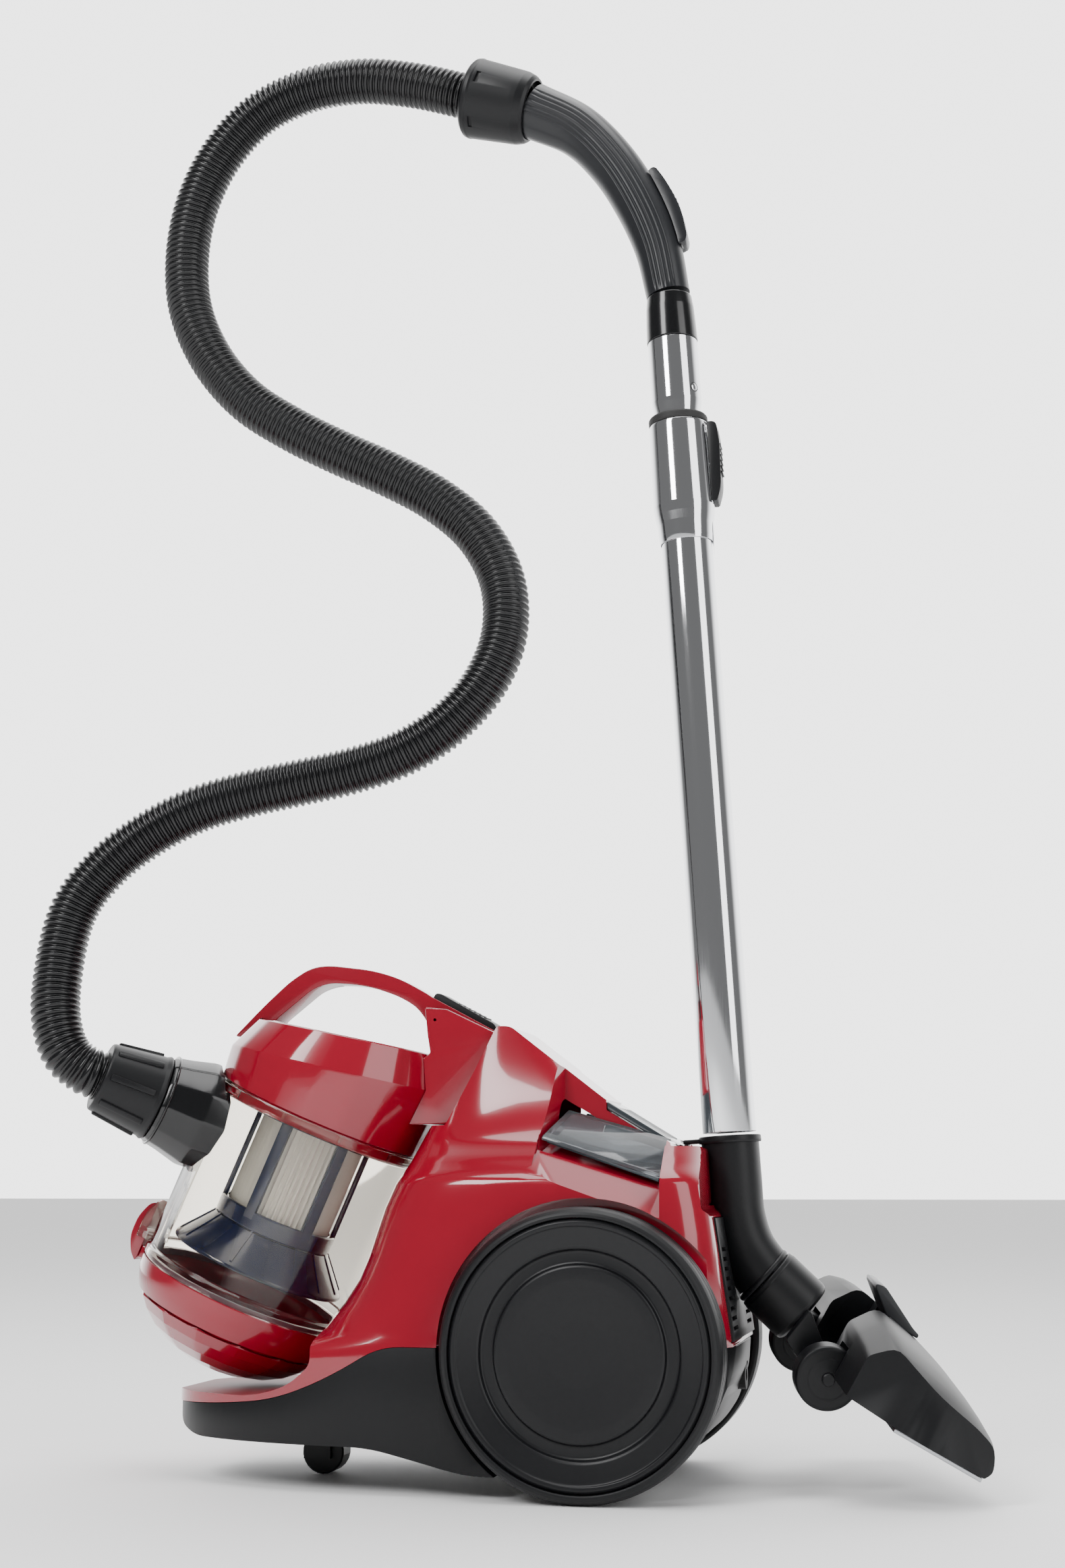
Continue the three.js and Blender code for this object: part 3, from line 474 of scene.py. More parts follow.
def done(obj, body, mat, node):
    """A finished piece, which rides on a body and stands for a CAD node."""
    if mat is not None:
        paint(obj, mat)
    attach(obj, body)
    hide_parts(node)


def fit(name, parts, mat, body, node):
    """One piece out of several parts, all of one material unless mat is None."""
    if mat is not None:
        for part in parts:
            paint(part, mat)
    done(join(parts, name), body, None, node)


# ---- hose ----
HOSE_PATH = [
    (-329.3, -74.5, 256.9), (-337.2, -79.5, 260.4), (-349, -84, 271), (-357, -84, 291), (-360, -80, 317),
    (-354, -72, 367), (-335, -65, 397), (-308, -58, 420), (-277, -52, 437), (-243, -45, 448),
    (-207, -39, 456), (-172, -33, 464), (-137, -28, 476), (-107, -22, 496), (-83, -17, 524),
    (-70, -12, 559), (-72, -8, 599), (-91, -4, 636), (-122, -1, 665), (-158, 0, 687), (-195, 0, 706),
    (-232, 0, 727), (-267, 0, 752), (-295, 0, 786), (-313, 0, 827), (-317, 0, 870), (-310, 0, 912),
    (-292, 0, 949), (-264, 0, 978), (-226, 0, 994), (-185, 0, 997), (-143, 0, 989), (-99.4, 0, 974.2),
]
HOSE_R, HOSE_PITCH, RIB_DEPTH, RIB_SHARPNESS = 16.5, 4.4, 2.5, 0.6
RINGS_PER_RIB, RINGS_PER_PATH_POINT = 6, 24


def ease(a, b, x):
    """0 up to a, 1 from b on, and smooth between them."""
    t = min(max((x - a) / (b - a), 0), 1)
    return t * t * (3 - 2 * t)


def follow(obj, body, weights):
    """Each ring of a swept tube moves with a body by its own share."""
    group = obj.vertex_groups.new(name=body)
    co = np.array([WORLD.inverted() @ v.co for v in obj.data.vertices])
    line = np.array([tuple(p) for p in catmull(HOSE_PATH, len(weights))[0]])
    for k, q in enumerate(co):
        near = int(np.argmin(((line - q) ** 2).sum(1)))
        if weights[near] > 0:
            group.add([k], weights[near], "REPLACE")
    hook = obj.modifiers.new(body, "HOOK")
    hook.object = frame["bodies"][body]
    hook.vertex_group = body
    hook.falloff_type = "NONE"
    hook.matrix_inverse = Matrix.Identity(4)


def corrugated_hose():
    length = catmull(HOSE_PATH, 400)[1]
    ribs = int(round(length / HOSE_PITCH))
    line, length = catmull(HOSE_PATH, ribs * RINGS_PER_RIB + 1)
    n = len(line)

    def size(u):
        phase = (u * ribs) % 1.0
        crest = 0.5 + 0.5 * math.cos(2 * math.pi * phase)
        return HOSE_R - RIB_DEPTH * (1 - crest ** RIB_SHARPNESS)

    obj = tube("hose_corrugated", line, size, 40, angle=180)
    done(obj, "canister", HOSE, "hose")
    follow(obj, "dust_cup", [1 - ease(0.12, 0.72, i / (n - 1)) for i in range(n)])
    follow(obj, "upper_wand", [ease(0.15, 0.97, i / (n - 1)) for i in range(n)])


corrugated_hose()


# ---- canister shells ----
def outline(z, x0, x1, half, nf, nr, count=144):
    """A level outline from x0 to x1. nf and nr say how square its front and rear are."""
    mid = x0 * 0.45 + x1 * 0.55
    ring = []
    for i in range(count):
        t = 2 * math.pi * i / count
        c, s = math.cos(t), math.sin(t)
        n = nf if c < 0 else nr
        reach = mid - x0 if c < 0 else x1 - mid
        x = mid + reach * math.copysign(abs(c) ** (2 / n), c)
        y = half * math.copysign(abs(s) ** (2 / n), s)
        ring.append((x, y, z))
    return ring


BODY_STATIONS = [
    (40, -288, 91, 100, 2.3, 3), (76, -288, 91, 100, 2.3, 3), (97, -181, 90, 100, 4, 4),
    (186, -134, 78, 97, 4, 5), (200, -126, 72, 84, 4, 5), (215, -120, 68, 66, 4, 5),
    (240, -107, 20, 50, 4, 4), (265, -95, -20, 40, 4, 4), (292, -80, -50, 34, 4, 4),
]


def smooth_stations(stations, steps):
    """More outlines between the given ones, easing the sizes from one to the next."""
    data = np.array(stations, float)
    z = data[:, 0]
    out = []
    levels = [np.linspace(a, b, steps, endpoint=False) for a, b in zip(z, z[1:])]
    for level in np.concatenate([*levels, z[-1:]]):
        out.append([level] + [float(pchip(z, data[:, k], level)) for k in range(1, 6)])
    return out


def pchip(x, y, q):
    """Monotone cubic interpolation at one point."""
    h = np.diff(x)
    d = np.diff(y) / h
    m = np.zeros(len(x))
    m[0], m[-1] = d[0], d[-1]
    for i in range(1, len(x) - 1):
        if d[i - 1] * d[i] > 0:
            w1, w2 = 2 * h[i] + h[i - 1], h[i] + 2 * h[i - 1]
            m[i] = (w1 + w2) / (w1 / d[i - 1] + w2 / d[i])
    i = int(min(max(np.searchsorted(x, q) - 1, 0), len(x) - 2))
    t = (q - x[i]) / h[i]
    return ((2 * t ** 3 - 3 * t ** 2 + 1) * y[i] + (t ** 3 - 2 * t ** 2 + t) * h[i] * m[i]
            + (-2 * t ** 3 + 3 * t ** 2) * y[i + 1] + (t ** 3 - t ** 2) * h[i] * m[i + 1])


def wheel_place(side):
    """On the wheels' axis, with Z pointing out to one side."""
    return Matrix.Translation((0, 0, WHEEL_R)) @ Matrix.Rotation(-side * math.pi / 2, 4, "X")


def wheel_well(radius, start, side):
    end = start + WELL_LENGTH
    return lathe("well", [(0, start), (radius, start), (radius, end), (0, end)], wheel_place(side), 128)


ELBOW_PATH = [(79.4, 0, 212.9), (80.8, 0, 190), (82.6, 0, 166), (88.5, 0.4, 146), (100.4, 1, 127.8)]


CHANNEL_R = 20.6


def park_channels():
    """The room that the parked tube and its elbow need."""
    r = CHANNEL_R
    line, _ = catmull([(78.6, 0, 226), *ELBOW_PATH, (112, 2, 117)], 40)
    bend = tube("bend", line, lambda u: r + (1.2 if u > 0.7 else 0), 64)
    straight = lathe("straight", [(0, -62), (r, -62), (r, 60), (0, 60)], WAND, 64)
    return [straight, bend]


def pedal_ring(side, grow, dz):
    """A pedal's four corners, grown all round and moved up."""
    pts = [(-22 - grow, 31.4 - grow, 231.5), (46 + grow, 31.4 - grow, 212.5),
           (45 + grow, 66 + grow, 189), (-33 - grow, 66 + grow, 214)]
    return [(x, side * y, z + dz) for x, y, z in pts]


POCKET_GAP, POCKET_FLOOR, TOOL_TOP = 2.2, -10.5, 60


def pedal_pocket(side):
    """The pocket that a pedal moves in."""
    return loft("pedal", [pedal_ring(side, POCKET_GAP, dz) for dz in (POCKET_FLOOR, TOOL_TOP)])


def panel_pocket():
    return prism("panel", [(2.5, 260), (3.0, 233.5), (49.6, 205.5), (50.5, 260)], -31, 31)


def ledge(side):
    """The sloping ledge that each pedal overhangs."""
    pts = [(-34.6, 64, 210), (46.6, 64, 185), (46.6, 106, 160), (-34.6, 106, 187)]
    return loft("ledge", [[(x, side * y, z + dz) for x, y, z in pts] for dz in (0, TOOL_TOP)])


# Faces facing up below this height get the darker satin red, which is painted shade from the dome above.
TRAY_TOP, FACING_UP = 0.0585, 0.9


def body_shell():
    side = [
        (-286.5, 49.2), (-284, 55), (-215, 55.5), (-190, 62.5), (-174, 76), (-175, 88.6),
        (-116.1, 224), (-99.7, 224), (-69, 288.4), (-60, 288.4), (3, 239.8), (49.6, 211.8),
        (50, 209.8), (67, 209.8), (70.5, 171), (75, 168), (85.4, 91), (86, 88), (-100, 88), (-127.9, 88),
        (-162.9, 68.1), (-199.9, 54.1), (-240, 50.1), (-286, 47),
    ]
    radii = [1, 3, 20, 14, 6, 3, 1, 1, 2, 4, 6, 1, 1, 2, 2, 3, 2, 1, 6, 16, 20, 20, 10, 1]
    rounded = corner_round(side, radii, 5)
    body = loft("body_red", [outline(*s) for s in smooth_stations(BODY_STATIONS, 6)])
    combine(body, prism("side", rounded, -105, 105), "INTERSECT")
    inner = [
        (80, -150, 60, 79, 6, 6), (150, -130, 54, 79, 6, 6), (176, -119, 50, 56, 6, 6),
        (200, -108, 40, 46, 6, 6), (222, -96, 10, 40, 5, 5), (246, -85, -30, 34, 5, 5),
    ]
    tools = [loft("cavity", [outline(*s, count=64) for s in inner])]
    tools += [wheel_well(91.5, 83.7, 1), wheel_well(91.5, 83.7, -1)]
    tools += park_channels()
    tools.append(lathe("seat", [(0, -20), (77.5, -20), (77.5, 137), (0, 137)], CUP, 128))
    tools.append(lathe("duct", [(0, -40), (15.5, -40), (15.5, 12), (0, 12)], SEAT, 48))
    tools.append(lathe("recess", [(0, -2.9), (22, -2.9), (22, 12), (0, 12)], SEAT, 48))
    tools.append(prism("grille", [(70, 166), (81, 90.5), (95, 90.5), (95, 166)], -60, 60))
    tools.append(block("seat_block", (45.5, -41, 173), (90, 41, 230)))
    tools.append(panel_pocket())
    for s in (1, -1):
        tools += [pedal_pocket(s), ledge(s)]
    cut_all(body, tools)
    bevel(body, 0.9, 2, 35, 40)
    paint(body, RED)
    body.data.materials.append(RED_SATIN_PAINTED_SHADE)
    # The tray's upward faces take the darker satin red: a duller finish, and painted shade from the dome
    # above.
    for p in body.data.polygons:
        if p.center.z < TRAY_TOP and p.normal.z > FACING_UP:
            p.material_index = 1
    done(body, "canister", None, "body_shell")


body_shell()


def base_pan():
    side = [
        (-285.5, 46.5), (-284, 40), (-277, 33), (-262, 28), (-135, 28), (-100, 20), (-72, 13), (30, 13),
        (50, 21), (64, 32), (75, 47), (79, 58), (84, 70), (86, 87.7), (-100, 87.7), (-128, 87.7),
        (-163, 67.7), (-200, 53.7), (-240, 49.7), (-285, 46.6),
    ]
    radii = [1, 4, 4, 8, 14, 14, 14, 10, 10, 8, 8, 8, 8, 1, 6, 16, 20, 20, 10, 1]
    pan = loft("pan_black", [outline(z, -287, 90, 100, 2.3, 3) for z in (5, 100)])
    combine(pan, prism("side", corner_round(side, radii, 5), -105, 105), "INTERSECT")
    hollow = [(-120, 32), (-100, 24), (-70, 16.5), (28, 16.5), (46, 24), (60, 35), (70, 50), (72, 95),
              (-120, 95)]
    tools = [prism("hollow", hollow, -79, 79), wheel_well(91.8, 84, 1), wheel_well(91.8, 84, -1)]
    place = Matrix.Translation((-199, 0, 0))
    tools.append(lathe("caster_well", [(0, 20), (21, 20), (21, 43), (0, 43)], place, 64))
    tools.append(block("front_hollow", (-170, -60, 20), (-124, 60, 46)))
    tools.append(lathe("outlet", [(0, 60), (9.4, 60), (9.4, 100), (0, 100)],
                       Matrix.Translation((0, 34, 64)) @ turn_y(math.pi / 2), 48))
    cut_all(pan, tools)
    bevel(pan, 1.2, 2, 35, 40)
    pad = block("pad", (-50, -40, 10), (20, 40, 14))
    bevel(pad, 1.0, 2)
    post = lathe("post", [(0, 15), (7, 15), (7, 55), (0, 55)], Matrix.Translation((-20, 0, 0)), 32)
    fit("pan_black", [pan, pad, post], BLACK, "canister", "base_pan")


base_pan()


def rear_fittings():
    cradle = corner_round([(46, 174.3), (68.5, 174.3), (66.8, 209.4), (46, 209.4)], [1, 1, 3, 1], 4)
    park = prism("park_cradle", cradle, -40.5, 40.5)
    cut_all(park, park_channels() + [block("slot", (48.5, -7.4, 190), (70, 7.4, 215))])
    cut_all(park, [panel_pocket(), pedal_pocket(1), pedal_pocket(-1)])
    bevel(park, 1.0, 2, 35)
    done(park, "canister", RED, "park_block")

    panel = prism("top_panel_grey", [(3.4, 234.2), (49.2, 206.6), (49.2, 211.4), (3.4, 239.2)], -30.4, 30.4)
    bevel(panel, 1.0, 3)
    ribs = []
    for k in range(5):
        y = -20 + 10 * k
        rib = prism("rib", [(10, 234.6), (42, 215.2), (42, 216.1), (10, 235.5)], y - 1.2, y + 1.2)
        bevel(rib, 0.4, 2)
        ribs.append(rib)
    fit("top_panel_grey", [panel] + ribs, PANEL, "canister", "top_panel")

    for s, body, node in ((-1, "power_pedal", "pedal_left"), (1, "rewind_pedal", "pedal_right")):
        base = loft("pedal_base", [pedal_ring(s, -3, -2), pedal_ring(s, -3.4, -0.4)])
        bevel(base, 0.8, 3)
        top = loft("pedal_top", [pedal_ring(s, 0, -0.3), pedal_ring(s, -0.6, 2.6)])
        bevel(top, 0.9, 3)
        fit(node + "_smoky", [paint(base, PANEL), paint(top, SMOKE)], None, body, node)

    grille = prism("exhaust_black", [(71.6, 165.6), (76.4, 165.6), (86.6, 91.2), (82, 91.2)], -59.5, 59.5)
    cut_all(grille, park_channels())
    for k in range(9):
        for y0, y1 in ((-50, -26), (26, 50)):
            z = 97 + 6 * k
            combine(grille, block("slot", (60, y0, z), (100, y1, z + 2.6)))
    bevel(grille, 0.8, 2, 35)
    done(grille, "canister", NOZZLE_BLACK, "exhaust_grille")


rear_fittings()


# ---- wheels ----
def wheels():
    for name, side in (("left", -1), ("right", 1)):
        m = wheel_place(side)
        face = [(0, 113.5), (20, 113.9), (44, 114.9), (50.6, 114.9), (52, 114.2), (52.8, 112.2),
                (54, 111.6), (59.4, 111.6), (60.6, 112.2), (61.6, 114.2), (63, 115.0), (73.4, 116.9),
                (74.6, 117.2), (75.4, 118.2), (77.5, 118.4), (79.7, 116.8), (79.7, 94), (79, 92),
                (60, 90), (7, 90), (6.4, 91), (6.4, 111), (0, 111)]
        hub = lathe(f"wheel_{name}_disc", face, m, 128, rounding=0.5, angle=24)
        done(hub, f"{name}_wheel", WHEEL, f"wheel_{name}")
        band = [(79.95, 92), (82, 90.3), (84.6, 90.3), (86.3, 92), (86.5, 94), (86.5, 97), (85.6, 98),
                (86.5, 99), (86.5, 106), (85.6, 107), (86.5, 108), (86.5, 111), (86.2, 113.5),
                (85.2, 116), (83.4, 118.4), (81.6, 119.4), (80.2, 119), (79.95, 118.2)]
        ring = lathe(f"tyre_{name}_band", band, m, 128, rounding=0.4, angle=30)
        done(ring, f"{name}_wheel", TYRE, f"tyre_{name}")


wheels()


# ---- dust cup ----
def lid_ring(r, z, slope, count=20, corner=0.16):
    """A many-sided ring with softened corners."""
    ring = []
    for i in range(count):
        a0 = 2 * math.pi * (i + 0.5) / count
        p0 = Vector((r * math.cos(a0), r * math.sin(a0)))
        a1, a2 = a0 - 2 * math.pi / count, a0 + 2 * math.pi / count
        before = Vector((r * math.cos(a1), r * math.sin(a1)))
        after = Vector((r * math.cos(a2), r * math.sin(a2)))
        s, e = p0.lerp(before, corner), p0.lerp(after, corner)
        for t in (0, 0.5, 1):
            q = s * (1 - t) ** 2 + p0 * 2 * t * (1 - t) + e * t ** 2
            ring.append((q.x, q.y, z + slope * q.x))
    return ring


def lid_port():
    """The way for the air out of the lid and into the body."""
    place = Matrix.Translation((-28, 0, -12)) @ SEAT
    return lathe("port", [(0, -30), (14, -30), (14, 24), (0, 24)], place, 48)


EAR = [(-84, 4), (-72.6, 4), (-72.6, 33), (-78, 33), (-84, 20)]
REAR_BLOCK = [(-119, 302), (-104, 300.5), (-71.6, 284.7), (-74, 279.4), (-100.2, 225), (-140, 225),
              (-140, 255), (-115, 271.7), (-117, 283)]


def dust_cup():
    wall = [(70.2, 0.3), (73.6, 0.3), (74.6, 1.6), (74.6, 7), (72.5, 8.8), (72.5, 120), (75.4, 121.6),
            (75.4, 126.8), (70.2, 126.8)]
    bin_ = lathe("bin_clear", wall, CUP, 128, rounding=0.8, angle=30)
    combine(bin_, lathe("bore", [(0, 50), (22.2, 50), (22.2, 90), (0, 90)], INLET, 64))
    extras = []
    for y0, y1 in ((-13, -10.3), (10.3, 13)):
        ear = prism("ear", corner_round(EAR, [2, 0, 0, 4, 6], 4), y0, y1, CUP)
        bevel(ear, 0.5, 2)
        extras.append(ear)
    for y0, y1 in ((-20, -12.4), (12.4, 20)):
        lug = block("lug", (71.5, y0, 0.3), (77.6, y1, 6), CUP)
        bevel(lug, 0.6, 2)
        extras.append(lug)
    for k in range(5):
        a = math.radians(-150 + 30 * k)
        tick = block("tick", (75.2, -1.1, 121.8), (76.0, 1.1, 126.4), CUP @ turn_z(a))
        bevel(tick, 0.3, 2)
        extras.append(tick)
    collar = lathe("collar", [(22.4, 68), (25.4, 68), (25.4, 76), (22.4, 76)], INLET, 64, rounding=0.4)
    fit("bin_clear", [bin_, collar, *extras], CLEAR, "dust_cup", "cup_bin")

    z0 = CUP_H + 0.3
    lid = loft("lid_red", [
        lid_ring(71.6, z0, 0), lid_ring(73.2, z0 + 1.2, 0), lid_ring(74.4, 144, 0.09),
        lid_ring(75.4, 159.4, 0.172), lid_ring(75.2, 161.4, 0.177), lid_ring(65.4, 183.2, 0.2),
        lid_ring(63.4, 184, 0.2), lid_ring(40, 184.4, 0.2),
    ], CUP, angle=12)
    hollow = [lid_ring(69.5, CUP_H - 5, 0), lid_ring(72, 158, 0.177), lid_ring(61.5, 181, 0.2)]
    cut_all(lid, [loft("hollow", hollow, CUP), lid_port()])
    bevel(lid, 0.7, 2, 14, 12)
    rim = lathe("rim", [(66, 121), (69.8, 121), (69.8, 131), (66, 131)], CUP, 96, rounding=0.5)
    spigot = lathe("spigot", [(30, 125), (34, 125), (34, 176), (30, 176)], CUP, 64, rounding=0.5)
    fit("lid_red", [lid, rim, spigot], RED, "dust_cup", "cup_lid")

    outer = [(-258, 286), (-238, 306), (-219, 323), (-207, 330.3), (-199.5, 332.6), (-190, 333),
             (-161, 329.2), (-141.6, 323.3), (-124, 313.6), (-119, 310.4),
             (-71.4, 284.9), (-74, 279.4), (-100.2, 225),
             (-140, 225), (-140, 262), (-115, 271.7)]
    inner = [(-117.5, 283), (-122.3, 294.5), (-129.5, 303.8), (-141.5, 310.9), (-160.7, 317.7),
             (-175, 320.2), (-189.6, 321), (-197, 319.6), (-204.1, 316.6), (-228, 297.6), (-240, 284)]
    radii = [2, 10, 10, 6, 6, 10, 14, 12, 3, 1, 3, 2, 1, 0, 0, 2] + [8, 8, 8, 8, 10, 8, 8, 6, 8, 4, 0]
    arch = prism("arch", corner_round(outer + inner, radii, 4), -13, 13)
    rear = prism("rear", corner_round(REAR_BLOCK, 1.5, 3), -31, 31)
    bevel(arch, 4.5, 4, 40)
    bevel(rear, 5.0, 4, 40)
    combine(arch, rear, "UNION")
    grown = [lid_ring(73.5, z0 - 0.4, 0), lid_ring(76, 161, 0.177), lid_ring(65, 184.5, 0.2)]
    bed = block("bed", (-25.6, -11.8, -6.8), (25.6, 11.8, 20), BUTTON)
    cut_all(arch, [loft("lid_grown", grown, CUP), lid_port(), bed])
    smooth(arch, 35)
    screw = lathe("screw", [(0, 0), (1, 0), (1.2, -0.6), (3, -0.6), (3.2, -1), (3.2, -6), (0, -6)],
                  Matrix.Translation((-112.0, -31.0, 293.5)) @ ACROSS, 32)
    fit("handle_red", [paint(arch, RED), paint(screw, SEAL)], None, "dust_cup", "carry_handle")

    face = [(-25, -3), (25, -3), (25, 0.5), (21, 3.4), (-22, 4.4), (-25, 3)]
    button = prism("release_black", corner_round(face, [1, 1, 2, 3, 3, 2], 4), -11.3, 11.3, BUTTON)
    bevel(button, 0.8, 3)
    grips = []
    for k in range(6):
        g = block("grip", (-8 + 4 * k, -9, 3.2), (-6.6 + 4 * k, 9, 4.4), BUTTON)
        bevel(g, 0.3, 2)
        grips.append(g)
    fit("release_black", [button] + grips, BLACK, "button", "release_button")


dust_cup()


PLEATS, SKIRT_RIBS = 56, 16


def filter_unit():
    low_ring = [(37.2, 44), (40.4, 44), (41, 45), (41, 55), (40.2, 56), (37.2, 56)]
    top_ring = [(37.2, 118), (41, 118), (41, 123.5), (37.2, 123.5)]
    cage = [lathe("low", low_ring, CUP, 96, 0.3), lathe("top", top_ring, CUP, 96, 0.3)]
    for k in range(6):
        post = block("post", (37.4, -4, 50), (41, 4, 122), CUP @ turn_z(math.pi * k / 3 + 0.35))
        bevel(post, 0.9, 2)
        cage.append(post)
    fit("cage_navy", cage, BLUE, "filter", "filter_cage")

    rings = []
    for z in (44.6, 46, 122, 123):
        ring = []
        for i in range(PLEATS * 4):
            a = 2 * math.pi * i / (PLEATS * 4)
            r = 34.2 + 2.0 * math.cos(PLEATS * a)
            ring.append((r * math.cos(a), r * math.sin(a), z))
        rings.append(ring)
    pleats = loft("pleats_white", rings, CUP, angle=60)
    combine(pleats, lathe("core", [(0, 40), (28, 40), (28, 130), (0, 130)], CUP, 48))
    done(pleats, "filter", PAPER, "filter_pleats")

    cone = [(0, 38), (20, 38), (57.4, 19.2), (59.6, 19), (60, 20), (59.6, 21.4), (42, 42.2), (41, 43.6),
            (0, 43.6)]
    parts = [lathe("skirt", cone, CUP, 96, 0.5, 30)]
    for k in range(SKIRT_RIBS):
        a = 2 * math.pi * k / SKIRT_RIBS
        rib = loft("rib", [[(41, -0.8, 42.0), (41, 0.8, 42.0), (41, 0.8, 44.4), (41, -0.8, 44.4)],
                           [(58, -0.8, 22.0), (58, 0.8, 22.0), (58, 0.8, 24.4), (58, -0.8, 24.4)]],
                   CUP @ turn_z(a))
        parts.append(rib)
    fit("skirt_navy", parts, BLUE, "filter", "filter_skirt")


filter_unit()


def bottom_door():
    outer, inner = [], []
    for k in range(25):
        a = math.pi / 2 * k / 24
        outer.append((DOOR_R * math.sin(a), -DOOR_DEPTH * math.cos(a)))
        inner.append((71.4 * math.sin(a), -(DOOR_DEPTH - 3) * math.cos(a)))
    outer[-1] = (74.4, -0.6)
    inner[-1] = (71.4, 0)
    upper = [(r, z) for r, z in outer if z > -21.5]
    bowl = lathe("dome", [(0, -44), (60, -22), *upper, (74.0, -0.05), *inner[::-1]], CUP, 128, angle=30)
    rings = []
    for z in (-21.9, -23.4, -31, -39, -46, -51, -53.6):
        r = DOOR_R * math.sqrt(1 - (z / DOOR_DEPTH) ** 2) - (0.9 if z > -22 else 0)
        rings.append(lid_ring(r, z, 0, 14, 0.10))
    lower = loft("dome_lower", rings[::-1], CUP, angle=9)
    combine(lower, lathe("hollow", [(0, -10), (0, -49), (52, -36), (69.5, -19), (69.5, -10)], CUP, 64))
    knuckle = lathe("knuckle", [(1.7, -12), (3.2, -12), (3.2, 12), (1.7, 12)],
                    CUP @ Matrix.Translation((74.6, 0, -3.6)) @ ACROSS, 40, 0.4)
    lip = block("lip", (-78, -9, -9), (-71, 9, -1), CUP)
    bevel(lip, 0.8, 2)
    fit("dome_red", [bowl, lower, knuckle, lip], RED, "door", "cup_door")
    hook = [(-78.6, 30), (-84.5, 27), (-89, 16), (-89, 2), (-84, -8), (-79, -12.4), (-78.4, -9.4),
            (-78.4, 8), (-80.2, 10), (-79, 13)]
    latch = prism("latch_red", corner_round(hook, [1, 4, 5, 5, 4, 1, 0.5, 0.5, 1, 1], 4), -9.8, 9.8, CUP)
    bevel(latch, 1.4, 3, 40)
    pin = lathe("pivot", [(0, -10.2), (2.6, -10.2), (3, -9.8), (3, 9.8), (2.6, 10.2), (0, 10.2)],
                CUP @ Matrix.Translation((-81.6, 0, 9)) @ ACROSS, 32)
    fit("latch_red", [latch, pin], RED, "latch", "door_latch")


bottom_door()


def inlet():
    shell = [(18.5, 64), (21.7, 64), (21.7, 76.4), (25.9, 76.4), (25.9, 58), (35.5, 58), (36.2, 80),
             (34.6, 86), (32, 96), (30.4, 104), (28.4, 108), (18.5, 108)]
    elbow = lathe("inlet_black", shell, INLET, 12, 0, 12)
    bevel(elbow, 1.6, 3, 14, 14)
    near, wide = CUP_R + 0.9, CUP_R + 4
    around = [(0, -60), (near, -60), (near, 120.8), (wide, 120.8), (wide, 200), (0, 200)]
    combine(elbow, lathe("around", around, CUP, 128))
    bevel(elbow, 0.8, 2, 40, 14)
    bead = [(29, 103.6), (30.6, 103.6), (31, 104.4), (30.6, 105.2), (29, 105.2)]
    bead = lathe("bead", bead, INLET, 72, 0.3)
    fit("inlet_black", [elbow, bead], GLOSS, "dust_cup", "inlet_elbow")

    end = CUP_R + 76
    core = [(17, 108.3), (28.4, 108.3), (28.8, 109.5), (27.6, 112), (23.2, end - 1.6), (22.6, end - 0.4),
            (21.6, end), (14, end), (14, end - 6), (17, 126)]
    parts = [lathe("collar_black", core, INLET, 96, 0.3, 30)]
    start_ring = [(25, -2.4, 114), (29, -2.0, 114.6), (29, 2.0, 114.6), (25, 2.4, 114)]
    end_ring = [(23, -2.4, end - 3.4), (25.0, -2.0, end - 4), (25.0, 2.0, end - 4), (23, 2.4, end - 3.4)]
    for k in range(8):
        rib = loft("rib", [start_ring, end_ring], INLET @ turn_z(math.pi * k / 4 + 0.2))
        bevel(rib, 0.6, 2)
        parts.append(rib)
    fit("collar_black", parts, BLACK, "collar", "hose_collar")


inlet()


# ---- handle and telescopic tube ----
GRIP = [(-51.6, 0, 957.9), (-18, 0, 938), (7.4, 0, 909), (26, 0, 876), (39, 0, 842), (46.2, 0, 804.3)]
GRIP_R = table_of([20, 19, 18.2, 17.9, 17.7, 17.2, 16.3, 15.5])


GROOVE_SPAN, GROOVE_PITCH, GROOVE_DEPTH, GROOVE_END = 0.55, 0.22, 0.04, 0.03


